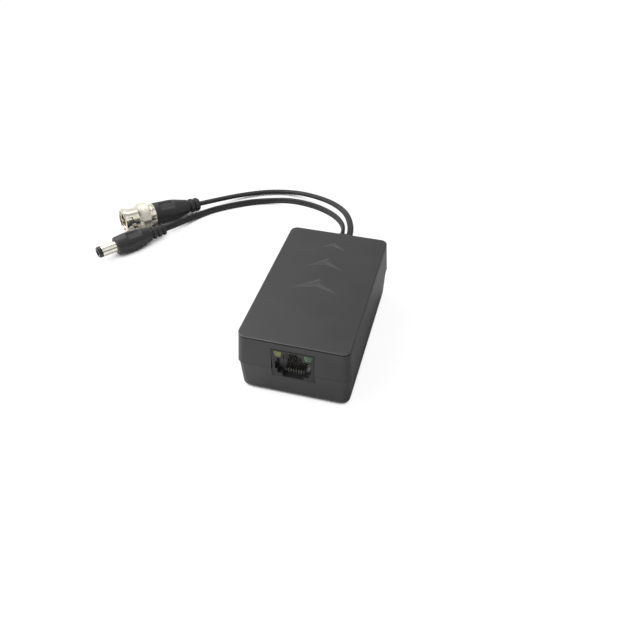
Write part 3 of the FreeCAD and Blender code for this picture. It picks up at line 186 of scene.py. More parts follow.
# the box's matt black ABS; heights and lengths in metres
shellLook = {
    "low": (56, 56, 56), "high": (62, 62, 62), "paintedHighlightColour": (112, 112, 112), "paintedShadeColour": (20, 20, 20),
    "grain": 0.00022, "cloud": 0.016, "scuff": 0.0028, "relief": 0.000012,
    "seam": 0.0146, "seamPaintedShade": (0.0001, 0.0003, 0.75, 0.0),        # two heights off the seam, and the painted shade at both
    # the groove under the lid's edge, darkened with painted shade
    "groove": (0.0271, 0.0276), "groovePaintedShade": 0.8,
    "rim": (0.02808, 0.02828),        # the lid's round edge, paled by a painted highlight
    # the chevrons' raised borders, paled by a painted highlight
    "chevronFoot": (0.02831, 0.02833), "chevronHighlight": 0.15,
    "ridge": 0.42, "ridgeWidth": (0.06, 0.16), "armWidth": 0.6,        # shares of an arm's breadth
    "chevrons": [        # millimetres: apex, run back to the tips, half width, breadth at the middle
        (3.4, 8.2, 9.6, 5.8), (17.4, 7.2, 7.6, 4.8), (28.9, 5.2, 5.9, 3.3)],
}


def chevronBorders(f):        # 1 on the two borders of each arm, 0 along its ridge and elsewhere
    across, along = f.unsigned(f.part(f.place(), 0)), f.part(f.place(), 1)
    borders = 0.0
    for apex, sweep, reach, breadth in shellLook["chevrons"]:
        share = across * (1 / (reach * mm))
        behind = apex * mm - share * (sweep * mm) - along
        off = f.unsigned(behind / ((1 - share) * (breadth * mm)) - shellLook["ridge"])
        borders = borders + f.span(off, *shellLook["ridgeWidth"]) * (off < shellLook["armWidth"]) * (share < 1.0)
    return borders


def shellPlastic():        # a fine spark-eroded grain, painted shade in seam and groove, painted highlights on rim and chevrons
    f = Finish("shellPlastic", specular_IOR_level=0.3)
    grain = f.noise(shellLook["grain"], 2.0, 0.6)
    cloud = f.noise(shellLook["cloud"], 3.0, 0.55)
    scuff = f.span(f.noise(shellLook["scuff"], 5.0, 0.7), 0.62, 0.74)
    height = f.part(f.place(), 2)
    grooveLow, grooveHigh = shellLook["groove"]
    # painted shade: darker along the seam and in the groove under the lid's edge
    paintedShadeAndLight = f.span(f.unsigned(height - shellLook["seam"]), *shellLook["seamPaintedShade"]) * f.span(cloud, 0.35, 0.6, 0.6, 1.0)
    paintedShadeAndLight = f.larger(paintedShadeAndLight, shellLook["groovePaintedShade"] * (height > grooveLow) * (height < grooveHigh))
    # painted highlight: the lid's round edge and the chevrons' borders turn paler
    rimHighlightMask = (height > grooveHigh) * f.span(height, *shellLook["rim"], 1.0, 0.0)
    paintedHighlightColour = paint(*shellLook["paintedHighlightColour"])
    skin = f.blend(f.span(cloud, 0.3, 0.7), paint(*shellLook["low"]), paint(*shellLook["high"]))
    skin = f.blend(rimHighlightMask * f.span(cloud, 0.3, 0.6, 0.9, 0.5), skin, paintedHighlightColour)
    raised = f.span(height, *shellLook["chevronFoot"])
    skin = f.blend(shellLook["chevronHighlight"] * chevronBorders(f) * raised, skin, paintedHighlightColour)
    f.feed(
        base_color=f.blend(paintedShadeAndLight, skin, paint(*shellLook["paintedShadeColour"])),
        roughness=f.span(grain, 0.25, 0.75, 0.38, 0.48) - 0.05 * scuff,
        normal=f.bump(grain, shellLook["relief"]),
    )
    return f.material


# the jack's smoother black plastic, pale deep inside with painted light; millimetres behind its face where each tone
# begins and ends
portLook = {
    "low": (44, 44, 44), "high": (51, 50, 51), "shade": (50, 50, 51), "paintedShadeAndLight": (225, 224, 224),
    "shadeFrom": (0.1, 0.6), "paintedLightFrom": (2.5, 6.5),
}


def portPlastic(face):
    f = Finish("portPlastic", specular_IOR_level=0.3)
    grain = f.noise(0.0004)
    depth = f.part(f.place(), 1)
    shadeLow, shadeHigh = (face + step * mm for step in portLook["shadeFrom"])
    paintedLightLow, paintedLightHigh = (face + step * mm for step in portLook["paintedLightFrom"])
    skin = f.blend(f.span(f.noise(0.004), 0.3, 0.7), paint(*portLook["low"]), paint(*portLook["high"]))
    # painted light: the inside turns pale deeper behind the face
    inside = f.blend(f.span(depth, paintedLightLow, paintedLightHigh), paint(*portLook["shade"]), paint(*portLook["paintedShadeAndLight"]))
    f.feed(
        base_color=f.blend(f.span(depth, shadeLow, shadeHigh), skin, inside),
        roughness=f.span(grain, 0.3, 0.7, 0.4, 0.5),
        normal=f.bump(grain, 0.000006),
    )
    return f.material


def softJacket(name, low, high, gloss):        # soft PVC of cords, boots and the relief
    f = Finish(name, specular_IOR_level=0.4)
    skin = f.noise(0.0006, 3.0)
    f.feed(
        base_color=f.blend(f.span(f.noise(0.007, 3.0), 0.3, 0.7), low, high),
        roughness=f.span(skin, 0.3, 0.7, gloss, gloss + 0.1),
        normal=f.bump(skin, 0.00001),
    )
    return f.material


# turned nickel plate, satin between two stations of the plug, which are metres from its mouth
nickelLook = {"haze": 0.0016, "smooth": (0.16, 0.28), "satin": 0.28, "latheLines": 9000, "latheDepth": 0.0000015}


def nickelPlate(name, plug, bright, dull, satin=(1.0, 1.0)):
    f = Finish(name, metallic=1.0)
    spot = f.node("ShaderNodeVectorMath", {"operation": "SUBTRACT"}, {0: f.place(), 1: tuple(plug["mouth"])})
    along = f.node("ShaderNodeVectorMath", {"operation": "DOT_PRODUCT"}, {0: spot, 1: tuple(plug["way"])}, output=1)
    lathe = f.node("ShaderNodeTexNoise", {"noise_dimensions": "1D"}, {
        "W": along, "Scale": nickelLook["latheLines"], "Detail": 2.0})
    haze = f.noise(nickelLook["haze"], 4.0, 0.6, spot)
    matt = (along > satin[0]) * (along < satin[1])
    f.feed(
        base_color=f.blend(f.span(haze, 0.35, 0.7), paint(*bright), paint(*dull)),
        roughness=f.span(haze, 0.3, 0.7, *nickelLook["smooth"]) + nickelLook["satin"] * matt,
        normal=f.bump(lathe, nickelLook["latheDepth"]),
    )
    return f.material


def plainMetal(name, color, smooth, rough, tarnish=0.82):
    f = Finish(name, metallic=1.0)
    haze = f.noise(0.0006, 3.0)
    dull = tuple(tarnish * level for level in color[:3]) + (1.0,)
    f.feed(
        base_color=f.blend(f.span(haze, 0.3, 0.7), color, dull),
        roughness=f.span(haze, 0.3, 0.7, smooth, rough),
        normal=f.bump(haze, 0.000003),
    )
    return f.material


# the port's contact wires, with a painted glint at the bend in front and painted shade behind it; metres from their
# front end
contactLook = {"bend": 0.0003, "fade": 0.0004, "paintedGlint": (228, 227, 222), "paintedDim": (112, 110, 104)}


def contactMetal(name, start):
    f = Finish(name, metallic=1.0)
    haze = f.noise(0.0006, 3.0)
    bend = start + contactLook["bend"]
    # painted glint at the front bend, painted shade behind it
    behind = f.span(f.part(f.place(), 1), bend, bend + contactLook["fade"])
    f.feed(
        base_color=f.blend(behind, paint(*contactLook["paintedGlint"]), paint(*contactLook["paintedDim"])),
        roughness=f.span(haze, 0.3, 0.7, 0.26, 0.38),
    )
    return f.material


def lens(name, leftTint, rightTint, left, right):        # clear lamp, its tint drifting from left to right, with a painted glow at its paler end
    f = Finish(name, IOR=1.5, specular_IOR_level=0.6)
    paintedGlowDrift = f.span(f.part(f.place(), 0) + 0.0006 * f.noise(0.0007), left, right)
    f.feed(
        base_color=f.blend(paintedGlowDrift, leftTint, rightTint),
        roughness=f.span(f.noise(0.0005), 0.3, 0.7, 0.25, 0.35),
        normal=f.bump(f.noise(0.0009), 0.00003),
    )
    return f.material


def plainPlastic(name, low, high, rough):
    f = Finish(name)
    grain = f.noise(0.0008, 3.0)
    f.feed(
        base_color=f.blend(f.span(grain, 0.3, 0.7), low, high),
        roughness=f.span(grain, 0.3, 0.7, rough, rough + 0.12),
        normal=f.bump(grain, 0.000006),
    )
    return f.material


def foremost(name):        # the lowest y of a node, where its front is
    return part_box(name)[0][1]


shell = shellPlastic()
port = portPlastic(foremost("jack_housing"))
jacket = softJacket("cordJacket", paint(27, 27, 29), paint(33, 33, 35), 0.42)
moulding = softJacket("plugMoulding", paint(45, 45, 46), paint(53, 53, 53), 0.42)
finishes = {
    "housing_base": shell,
    "housing_cover": shell,
    "case_screws": plainMetal("screwSteel", paint(150, 150, 150), 0.3, 0.45),
    "circuit_board": plainPlastic("boardLacquer", paint(22, 74, 44), paint(28, 86, 50), 0.35),
    "jack_housing": port,
    "jack_insert": port,
    "lamp_yellow": lens("yellowLens", paint(58, 62, 34), paint(104, 107, 48), -0.0076, -0.0058),
    "lamp_green": lens("greenLens", paint(92, 112, 104), paint(48, 78, 44), 0.0044, 0.0064),
    "transformer_core": plainPlastic("ferrite", paint(52, 52, 56), paint(66, 66, 70), 0.6),
    "transformer_winding": plainMetal("enamelledCopper", paint(168, 86, 44), 0.3, 0.42),
    "resettable_fuse": plainPlastic("fuseCoat", paint(208, 168, 42), paint(222, 184, 58), 0.35),
    "ceramic_capacitor": plainPlastic("ceramicCoat", paint(186, 112, 44), paint(202, 128, 56), 0.45),
    "surge_diode": plainPlastic("diodeCase", paint(34, 34, 36), paint(44, 44, 46), 0.4),
    "strain_relief": moulding,
    "wire_power_plus": plainPlastic("redWire", paint(172, 30, 28), paint(190, 40, 34), 0.4),
    "wire_power_minus": plainPlastic("blackWire", paint(34, 34, 35), paint(44, 44, 45), 0.4),
    "wire_video_core": plainPlastic("whiteWire", paint(214, 212, 204), paint(226, 224, 216), 0.4),
    "wire_video_shield": plainPlastic("greyWire", paint(52, 52, 53), paint(62, 62, 63), 0.4),
    "power_cord": jacket,
    "video_cord": jacket,
    "bnc_coupling_ring": nickelPlate("plugNickel", bnc, (238, 234, 221), (214, 208, 190), (0.0082, 0.0132)),
    "bnc_boot": moulding,
    "bnc_insulator": plainPlastic("insulator", paint(172, 158, 132), paint(188, 174, 148), 0.5),
    "bnc_gasket": plainPlastic("gasketRubber", paint(58, 36, 30), paint(70, 44, 36), 0.55),
    "bnc_centre_pin": plainMetal("pinGold", paint(198, 178, 134), 0.2, 0.32),
    "bnc_wave_washer": plainMetal("springSteel", paint(168, 168, 166), 0.22, 0.34),
    "barrel_plug_handle": moulding,
    "barrel_sleeve": nickelPlate("barrelNickel", barrel, (238, 235, 226), (218, 213, 200)),
    "barrel_insulator": plainPlastic("tipPlastic", paint(30, 30, 32), paint(38, 37, 39), 0.22),
    "barrel_inner_contact": plainMetal("contactNickel", paint(176, 174, 168), 0.25, 0.4),
}
for name in ("bnc_body", "bnc_thrust_washer", "bnc_retaining_ring"):
    finishes[name] = finishes["bnc_coupling_ring"]
tin = plainMetal("leadTin", paint(186, 186, 184), 0.3, 0.42)
for name in ("lamp_yellow_leads", "lamp_green_leads"):
    finishes[name] = tin
contactSpring = contactMetal("contactSpring", foremost("jack_contact_1"))
for i in range(8):
    finishes["jack_contact_%d" % (i + 1)] = contactSpring
for name, solid in nodes.items():
    solid.data.materials.clear()
    solid.data.materials.append(finishes[name])
print("finishes on", len(nodes), "nodes")


# small rounds that moulds and lathes leave on every edge, millimetres
edgeRounds = {
    "housing_cover": 0.12, "housing_base": 0.12, "jack_housing": 0.08, "jack_insert": 0.05, "circuit_board": 0.08,
    "lamp_yellow": 0.1, "lamp_green": 0.1, "strain_relief": 0.22, "bnc_coupling_ring": 0.09, "bnc_body": 0.08,
    "bnc_insulator": 0.08, "barrel_sleeve": 0.08, "barrel_insulator": 0.12, "barrel_inner_contact": 0.05,
}
for name, size in edgeRounds.items():
    rounding = nodes[name].modifiers.new("edgeRound", "BEVEL")
    rounding.width = size * mm
    rounding.segments = 2
    rounding.limit_method = "ANGLE"
    rounding.angle_limit = math.radians(38)
print("edges rounded on", len(edgeRounds), "nodes")


def makeObject(name, mesh, material):
    made = bpy.data.objects.new(name, mesh)
    bpy.context.scene.collection.objects.link(made)
    mesh.materials.append(material)
    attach(made, "balun")
    return made


def meshFrom(shape, name, flatAbove=None):        # flat faces stay flat, the rest is shaded smooth
    bmesh.ops.recalc_face_normals(shape, faces=shape.faces)
    mesh = bpy.data.meshes.new(name)
    shape.to_mesh(mesh)
    shape.free()
    for face in mesh.polygons:
        face.use_smooth = True
    if flatAbove:
        mesh.set_sharp_from_angle(angle=math.radians(flatAbove))
    return mesh


def bridge(shape, first, second):        # a band of quads between two rings
    count = len(first)
    for i in range(count):
        j = (i + 1) % count
        shape.faces.new((first[i], first[j], second[j], second[i]))


def ahead(plug, distance):        # a point in line with the plug, this far behind it
    return tuple(Vector(plug["back"]) + plug["way"] * distance)


# cords: route points as the solids have them, from the exit on, millimetres; waist is the web's share of thickness
cordSizes = {
    "power": {
        "width": 3.05, "thickness": 2.0, "waist": 0.62,
        "route": [(-2.9, 52.25, 14.6), (-2.9, 59.2, 14.6), (-7.8, 68.8, 13.2), (-15.5, 78.2, 10.4),
            (-26.5, 87.4, 7.0), (-40.4, 93.8, 3.8), (-52.4, 94.0, 1.6), (-63.7, 89.3, 1.6),
            (-77.7, 79.0, 1.6), (-83.9, 71.2, 1.8), (-87.1, 65.0, 2.6), (-89.3, 59.2, 3.6),
            ahead(barrel, 4.5), ahead(barrel, 0)],
        "roll": [(0.0, 90), (0.25, 80), (0.5, 62), (0.8, 50), (1.0, 50)],        # share of length, degrees
    },
    "video": {
        "width": 2.95, "thickness": 2.05, "waist": 0.8,
        "route": [(0.6, 52.25, 14.6), (0.6, 58.8, 14.6), (-4.2, 73.0, 13.0), (-11.1, 84.5, 9.8),
            (-20.7, 95.1, 6.2), (-34.4, 103.6, 2.8), (-45.6, 105.5, 1.5), (-56.9, 102.5, 1.5),
            (-66.8, 96.7, 1.8), (-74.2, 90.2, 2.6), ahead(bnc, 5.5), ahead(bnc, 0)],
        "roll": [(0.0, 0), (0.3, 8), (0.6, -6), (1.0, 0)],
    },
}


def routeLine(name, points):        # the smooth line of a cord, read from a spline that is then thrown away
    curve = bpy.data.curves.new(name, "CURVE")
    curve.dimensions = "3D"
    curve.resolution_u = 16
    spline = curve.splines.new("NURBS")
    spline.points.add(len(points) - 1)
    for place, point in zip(spline.points, points):
        place.co = (point[0] * mm, point[1] * mm, point[2] * mm, 1)
    spline.order_u = 3
    spline.use_endpoint_u = True
    carrier = bpy.data.objects.new(name, curve)
    line = bpy.data.meshes.new_from_object(carrier)
    path = [vertex.co.copy() for vertex in line.vertices]
    bpy.data.objects.remove(carrier)
    bpy.data.curves.remove(curve)
    bpy.data.meshes.remove(line)
    return path


def between(table, share):        # reads a table of steps at a share of the way
    for (start, low), (end, high) in zip(table, table[1:]):
        if share <= end:
            return low + (high - low) * (share - start) / (end - start)
    return table[-1][1]


def twinSection(sizes, around=32, squareness=2.6, webShare=0.26):        # two leads side by side, webbed together
    half, thick = sizes["width"] / 2 * mm, sizes["thickness"] / 2 * mm
    section = []
    for i in range(around):
        angle = 2 * math.pi * i / around
        x = half * math.cos(angle)
        bulge = math.sqrt(max(0.0, 1 - (abs(x) / half) ** squareness))
        dip = 1 - (1 - sizes["waist"]) * math.exp(-(x / (webShare * half)) ** 2)
        section.append((x, math.copysign(thick * bulge * dip, math.sin(angle))))
    return section


def makeCord(name, sizes, node, material):
    path = routeLine(name, sizes["route"])
    total = sum((b - a).length for a, b in zip(path, path[1:]))
    section = twinSection(sizes)
    shape = bmesh.new()
    rings = []
    walked = 0.0
    for i, point in enumerate(path):
        before, after = path[max(i - 1, 0)], path[min(i + 1, len(path) - 1)]
        walked += (point - path[i - 1]).length if i else 0.0
        way = (after - before).normalized()
        side = way.cross(Vector((0, 0, 1))).normalized()
        lift = side.cross(way)
        roll = math.radians(between(sizes["roll"], walked / total))
        across = side * math.cos(roll) + lift * math.sin(roll)
        up = across.cross(way)
        rings.append([shape.verts.new(point + across * x + up * y) for x, y in section])
    for a, b in zip(rings, rings[1:]):
        bridge(shape, a, b)
    shape.faces.new(list(reversed(rings[0])))
    shape.faces.new(rings[-1])
    made = makeObject(name, meshFrom(shape, name, 60), material)
    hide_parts(node)
    sizes["width"] * mm
    print(name, "length", round(total / mm, 1))


# moulded grips: a turned skin with soft corners, and a finger flat on its top and underside, millimetres
grips = {
    "videoBoot": {
        "plug": bnc, "node": "bnc_boot", "roll": 22.0,
        "profile": [        # station, radius, round at that corner
            (16.3, 3.7, 0), (16.3, 5.55, 0.45), (26.5, 5.45, 2.5), (35.1, 3.45, 0.3), (35.15, 2.55, 0.15),
            (35.95, 2.55, 0.15), (36.0, 3.6, 0.4), (37.75, 3.58, 0.4), (37.8, 2.55, 0.15), (38.6, 2.55, 0.15),
            (38.65, 3.5, 0.4), (40.45, 3.48, 0.55), (40.5, 2.9, 0.1), (41.2, 2.9, 0.3), (41.2, 0, 0)],
        "flat": {"start": 19.0, "end": 26.6, "height": 4.55, "halfWidth": 2.1},
    },
    "powerHandle": {
        "plug": barrel, "node": "barrel_plug_handle", "roll": 22.0,
        "profile": [
            (13.4, 3.22, 0), (9.38, 3.22, 0), (9.38, 2.78, 0), (9.32, 2.78, 0.03), (9.32, 4.35, 0.7),
            (16.0, 4.95, 4.0), (21.5, 4.6, 4.0), (27.6, 3.35, 0.3),
            (27.65, 2.3, 0.2), (28.75, 2.3, 0.2), (28.8, 3.25, 0.45), (30.3, 3.22, 0.45), (30.35, 2.3, 0.2),
            (31.45, 2.3, 0.2), (31.5, 3.12, 0.45), (33.0, 3.1, 0.45), (33.05, 2.3, 0.2), (34.15, 2.3, 0.2),
            (34.2, 3.0, 0.45), (35.7, 2.98, 0.55), (35.7, 0, 0)],
        "flat": {"start": 15.0, "end": 22.6, "height": 4.1, "halfWidth": 1.7},
    },
}


def softCorners(profile, steps=5, share=0.45, run=0.3):        # curves each corner, then splits long runs
    line = [Vector(profile[0][:2])]
    for before, corner, after in zip(profile, profile[1:], profile[2:]):
        here = Vector(corner[:2])
        back, forward = Vector(before[:2]) - here, Vector(after[:2]) - here
        reach = min(corner[2], share * back.length, share * forward.length)
        if reach <= 0:
            line.append(here)
            continue
        start, end = here + back.normalized() * reach, here + forward.normalized() * reach
        for i in range(steps + 1):
            t = i / steps
            line.append(start * (1 - t) ** 2 + here * 2 * t * (1 - t) + end * t ** 2)
    line.append(Vector(profile[-1][:2]))
    fine = [line[0]]
    for a, b in zip(line, line[1:]):
        count = max(1, math.ceil((b - a).length / run))
        fine += [a.lerp(b, i / count) for i in range(1, count + 1)]
    return fine


def ease(low, high, value):        # 0 up to low, 1 from high, soft between
    t = min(1.0, max(0.0, (value - low) / (high - low)))
    return t * t * (3 - 2 * t)


def makeGrip(name, grip, material, around=80, endEase=0.35, sideEase=0.15):
    plug, flat = grip["plug"], grip["flat"]
    roll = math.radians(grip["roll"])
    top = plug["up"] * math.cos(roll) - plug["side"] * math.sin(roll)
    across = plug["side"] * math.cos(roll) + plug["up"] * math.sin(roll)
    start, end, half = flat["start"], flat["end"], flat["halfWidth"]
    shape = bmesh.new()
    rings = []
    for station, radius in softCorners(grip["profile"]):
        centre = plug["mouth"] + plug["way"] * station * mm
        if radius < 0.001:        # the closed end
            tip = shape.verts.new(centre)
            for i in range(around):
                shape.faces.new((rings[-1][i], rings[-1][(i + 1) % around], tip))
            break
        inside = ease(start, start + endEase, station) * (1 - ease(end - endEase, end, station))
        ring = []
        for i in range(around):
            angle = 2 * math.pi * i / around
            x, z = radius * math.sin(angle), radius * math.cos(angle)
            sunk = inside * (1 - ease(half - sideEase, half + sideEase, abs(x)))
            z -= math.copysign(sunk * max(0.0, abs(z) - flat["height"]), z)
            ring.append(shape.verts.new(centre + (across * x + top * z) * mm))
        if rings:
            bridge(shape, rings[-1], ring)
        rings.append(ring)
    made = makeObject(name, meshFrom(shape, name, 50), material)
    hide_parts(grip["node"])


for name, grip in grips.items():
    makeGrip(name, grip, moulding)
print("grips made")


# the wave washer under the coupling ring, which flattens it when it is pulled forward; millimetres
spring = {
    "inner": 4.21, "outer": 4.75, "thickness": 0.2, "start": 10.8, "end": 11.65, "waves": 3, "travel": 0.6,
}


def makeSpring(around=96):
    inner, outer, thickness = spring["inner"], spring["outer"], spring["thickness"]
    height = spring["end"] - spring["start"]
    shape = bmesh.new()
    rings = []
    for radius, lift in ((inner, 0), (outer, 0), (outer, 1), (inner, 1)):
        ring = []
        for i in range(around):
            angle = 2 * math.pi * i / around
            wave = (height - thickness) * (1 - math.cos(spring["waves"] * angle)) / 2
            station = spring["start"] + wave + lift * thickness
            turned = bnc["side"] * math.cos(angle) + bnc["up"] * math.sin(angle)
            ring.append(shape.verts.new(bnc["mouth"] + (bnc["way"] * station + turned * radius) * mm))
        rings.append(ring)
    for i in range(4):
        bridge(shape, rings[i], rings[(i + 1) % 4])
    material = finishes["bnc_wave_washer"]
    made = makeObject("waveSpring", meshFrom(shape, "waveSpring", 50), material)
    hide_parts("bnc_wave_washer")
    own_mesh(made)


makeSpring()
print("spring made")

# the two cords, each swept along its route
makeCord("powerLead", cordSizes["power"], "power_cord", jacket)
makeCord("videoLead", cordSizes["video"], "video_cord", jacket)


# self-tapping screws in the underside: a low domed head with a cross recess, and a coarse thread; millimetres
screw = {
    "head": 2.8, "headHeight": 2.0, "dome": 0.5, "domeCurve": 2.4, "headRings": 24,
    "crossLength": 1.55, "crossWidth": 0.38, "crossDepth": 1.25, "crossWall": 0.2, "crossEnd": 0.3, "crossRise": 0.4,
    "shank": 1.5, "root": 1.12, "pitch": 1.2, "crestShare": 0.32, "length": 12.0, "point": 1.6, "pointShare": 0.25,
    "step": 0.15,
}


def crossArm(along, aside):        # 1 inside one bar of the recess
    width, length = screw["crossWidth"], screw["crossLength"]
    return (1 - ease(width, width + screw["crossWall"], abs(aside))) * (
        1 - ease(length - screw["crossEnd"], length, abs(along)))


def headRing(shape, x, y, low, radius, around):
    ring = []
    for j in range(around if radius else 1):
        angle = 2 * math.pi * j / around
        px, py = radius * math.cos(angle), radius * math.sin(angle)
        arm = max(crossArm(px, py), crossArm(py, px))
        fall = screw["dome"] * (radius / screw["head"]) ** screw["domeCurve"]
        deep = screw["crossDepth"] * arm * (1 - screw["crossRise"] * radius / screw["crossLength"] if arm else 1)
        ring.append(shape.verts.new(Vector((x + px, y + py, low + fall + deep)) * mm))
    return ring


def threadRing(shape, x, y, height, travelled, around):        # one level of the shank, with the thread's crest
    taper = ease(0, screw["point"], screw["length"] - travelled)
    ring = []
    for j in range(around):
        angle = 2 * math.pi * j / around
        phase = (travelled / screw["pitch"] - j / around) % 1.0
        crest = max(0.0, 1 - abs(phase - 0.5) / screw["crestShare"])
        radius = screw["root"] + (screw["shank"] - screw["root"]) * crest
        radius *= screw["pointShare"] + (1 - screw["pointShare"]) * taper
        place = Vector((x + radius * math.cos(angle), y + radius * math.sin(angle), height))
        ring.append(shape.verts.new(place * mm))
    return ring


def addScrew(shape, x, y, low, around=48):        # the head's face looks down from the height low
    headEnd, count = low + screw["headHeight"], screw["headRings"]
    tip, *rings = [headRing(shape, x, y, low, screw["head"] * i / count, around) for i in range(count + 1)]
    for j in range(around):
        shape.faces.new((tip[0], rings[0][j], rings[0][(j + 1) % around]))
    rim = []
    for j in range(around):
        angle = 2 * math.pi * j / around
        place = Vector((x + screw["head"] * math.cos(angle), y + screw["head"] * math.sin(angle), headEnd))
        rim.append(shape.verts.new(place * mm))
    rings.append(rim)
    for k in range(int(screw["length"] / screw["step"]) + 1):
        height = headEnd + screw["step"] * k
        rings.append(threadRing(shape, x, y, height, height - headEnd, around))
    for first, second in zip(rings, rings[1:]):
        bridge(shape, first, second)
    shape.faces.new(rings[-1])


def makeScrews():
    low, high = (Vector(corner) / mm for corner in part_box("case_screws"))
    shape = bmesh.new()
    for x in (low.x + screw["head"], high.x - screw["head"]):
        for y in (low.y + screw["head"], high.y - screw["head"]):
            addScrew(shape, x, y, low.z)
    made = makeObject("caseScrews", meshFrom(shape, "caseScrews", 50), finishes["case_screws"])
    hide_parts("case_screws")


makeScrews()
print("screws made")


# the transformer's single turns of enamelled wire, in two halves round the core; millimetres and degrees
coil = {
    "turns": 17, "span": 150.0, "edge": 3.0, "wire": 0.17, "inner": 2.5, "outer": 4.75, "gap": 0.06, "corner": 0.45,
}


def turnLoop(low, high, half, corner, points=5):        # radius and height round one turn
    loop = []
    corners = (
        (high - corner, half - corner, 0), (low + corner, half - corner, 90),
        (low + corner, corner - half, 180), (high - corner, corner - half, 270))
    for radius, height, start in corners:
        for i in range(points):
            angle = math.radians(start + 90 * i / (points - 1))
            loop.append((radius + corner * math.cos(angle), height + corner * math.sin(angle)))
    return loop


def addWire(shape, path, middle, around=8):
    rings = []
    for i, point in enumerate(path):
        way = (path[min(i + 1, len(path) - 1)] - path[max(i - 1, 0)]).normalized()
        radial = Vector((point.x - middle.x, point.y - middle.y, 0)).normalized()
        first = way.cross(Vector((-radial.y, radial.x, 0))).normalized()
        second = way.cross(first)
        ring = []
        for j in range(around):
            angle = 2 * math.pi * j / around
            offset = (first * math.cos(angle) + second * math.sin(angle)) * coil["wire"]
            ring.append(shape.verts.new((point + offset) * mm))
        rings.append(ring)
    for a, b in zip(rings, rings[1:]):
        bridge(shape, a, b)
    shape.faces.new(list(reversed(rings[0])))
    shape.faces.new(rings[-1])


def makeCoil():
    low, high = (Vector(corner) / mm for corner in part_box("transformer_core"))
    middle = (low + high) / 2
    reach = coil["gap"] + coil["wire"]
    loop = turnLoop(coil["inner"] - reach, coil["outer"] + reach, (high.z - low.z) / 2 + reach, coil["corner"])
    steps = coil["turns"] * len(loop)
    shape = bmesh.new()
    for start in (0.0, 180.0):
        path = []
        for i in range(steps + 1):
            r, z = loop[i % len(loop)]
            angle = math.radians(start + coil["edge"] + (coil["span"] - 2 * coil["edge"]) * i / steps)
            path.append(middle + Vector((r * math.cos(angle), r * math.sin(angle), z)))
        addWire(shape, path, middle)
    material = finishes["transformer_winding"]
    made = makeObject("coilTurns", meshFrom(shape, "coilTurns"), material)
    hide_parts("transformer_winding")


makeCoil()
print("coil made")


# floor, surroundings and soft studio light
studio = {
    "floorSize": 6.0,
    "paper": 0.87,
    "burnt": 1.1,        # the white that the camera sees in place of most of the paper
    "burntShare": 0.85,
    "reach": 0.009,        # how far round a spot of paper is looked at for what covers it
    "paintedShadowSpan": (0.31, 0.41),        # open share of its sky, for the painted contact shadow: black up to the first, burnt out from the second
    "front": (0.26, -0.966, 0.0),        # towards the camera, level
    "left": (-0.97, 0.24, 0.0),
    "ceiling": 1.15, "ceilingFrom": (0.75, 0.92),
    "behind": 0.55, "cameraSide": 0.1, "turn": (-0.2, 0.4),        # from the back wall to the camera's side
    "horizon": 0.65, "horizonUpTo": (0.15, 0.4),
    "brighterLeft": (-0.3, 0.6, 0.3, 1.6),        # from how far right to how far left, and the strength at both
    "window": 1.0, "windowSide": (-0.2, -0.6), "windowFrom": (0.22, 0.36),        # on the right, only gloss shows it
    "lamps": [        # name, place, aim, size, watts, whether gloss shows it
        ("softbox", (-0.24, 0.1, 0.34), (-0.02, 0.02, 0), 0.3, 1.0, True),
        ("fill", (-0.22, -0.3, 0.16), (0, 0, 0.01), 0.2, 0.75, False),
    ],
}


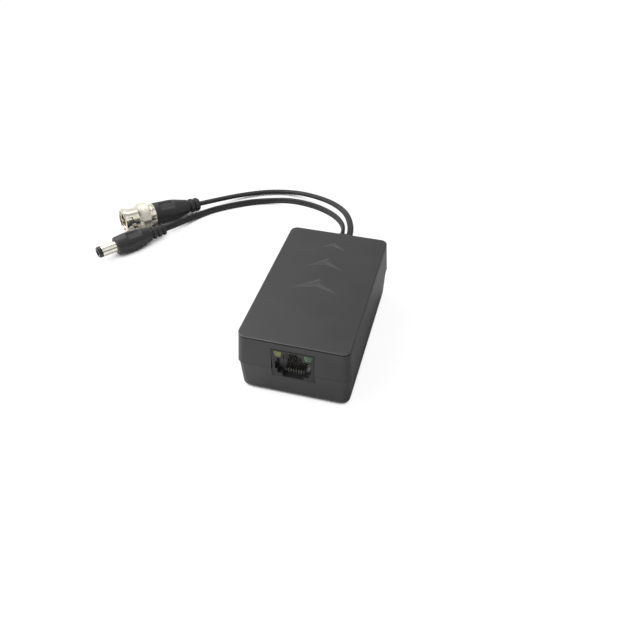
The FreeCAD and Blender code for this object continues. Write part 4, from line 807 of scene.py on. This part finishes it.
def makeFloor():
    half = studio["floorSize"] / 2
    corners = [(-half, -half, 0), (half, -half, 0), (half, half, 0), (-half, half, 0)]
    mesh = bpy.data.meshes.new("studioFloor")
    mesh.from_pydata(corners, [], [(0, 1, 2, 3)])
    floor = bpy.data.objects.new("studioFloor", mesh)
    bpy.context.scene.collection.objects.link(floor)
    floor.location.z = -0.00002        # just clear of the underside
    f = Finish("floorPaper", base_color=(studio["paper"],) * 3 + (1.0,), roughness=0.9, specular_IOR_level=0.0)
    sky = f.node("ShaderNodeAmbientOcclusion", {"samples": 8}, {"Distance": studio["reach"]}, output=1)
    # painted contact shadow in the camera's white, darker where the paper is covered
    whiteWithPaintedShadow = f.blend(f.span(sky, *studio["paintedShadowSpan"]), (0.0, 0.0, 0.0, 1.0), (1.0, 1.0, 1.0, 1.0))
    glow = f.node("ShaderNodeEmission", {}, {"Color": whiteWithPaintedShadow, "Strength": studio["burnt"]})
    seen = f.node("ShaderNodeLightPath", output=0)
    paper = Reading(f, f.shader.outputs[0])
    f.plug(f.surface, f.node("ShaderNodeMixShader", {}, {0: seen * studio["burntShare"], 1: paper, 2: glow}))
    mesh.materials.append(f.material)


def makeLamps():
    for name, place, aim, size, watts, gloss in studio["lamps"]:
        lamp = bpy.data.lights.new(name, "AREA")
        lamp.shape = "SQUARE"
        lamp.size = size
        lamp.energy = watts
        holder = bpy.data.objects.new(name, lamp)
        bpy.context.scene.collection.objects.link(holder)
        holder.location = place
        holder.visible_glossy = gloss
        holder.rotation_euler = (Vector(aim) - Vector(place)).to_track_quat("-Z", "Y").to_euler()


def makeRoom():        # white to the camera, and light and dark walls to everything else
    world = bpy.data.worlds.new("studio")
    bpy.context.scene.world = world
    world.use_nodes = True
    w = Bench(world.node_tree)
    back = world.node_tree.nodes["Background"]
    back.inputs["Color"].default_value = (1, 1, 1, 1)
    way = w.node("ShaderNodeTexCoord", output=0)
    height = w.part(way, 2)
    front = w.node("ShaderNodeVectorMath", {"operation": "DOT_PRODUCT"}, {0: way, 1: studio["front"]}, output=1)
    left = w.node("ShaderNodeVectorMath", {"operation": "DOT_PRODUCT"}, {0: way, 1: studio["left"]}, output=1)
    walls = w.span(front, *studio["turn"], studio["behind"], studio["cameraSide"])
    low = w.span(height, *studio["horizonUpTo"], 1.0, 0.0)
    walls = walls + low * (studio["horizon"] - walls)
    room = walls + w.span(height, *studio["ceilingFrom"]) * (studio["ceiling"] - walls)
    room = room * w.span(left, *studio["brighterLeft"])
    mirrored = w.node("ShaderNodeLightPath", output=3)
    window = mirrored * w.span(left, *studio["windowSide"]) * w.span(height, *studio["windowFrom"])
    seen = w.node("ShaderNodeLightPath", output=0)
    w.plug(back.inputs["Strength"], w.larger(seen, w.larger(room, studio["window"] * window)))


makeFloor()
makeLamps()
makeRoom()
print("studio set")
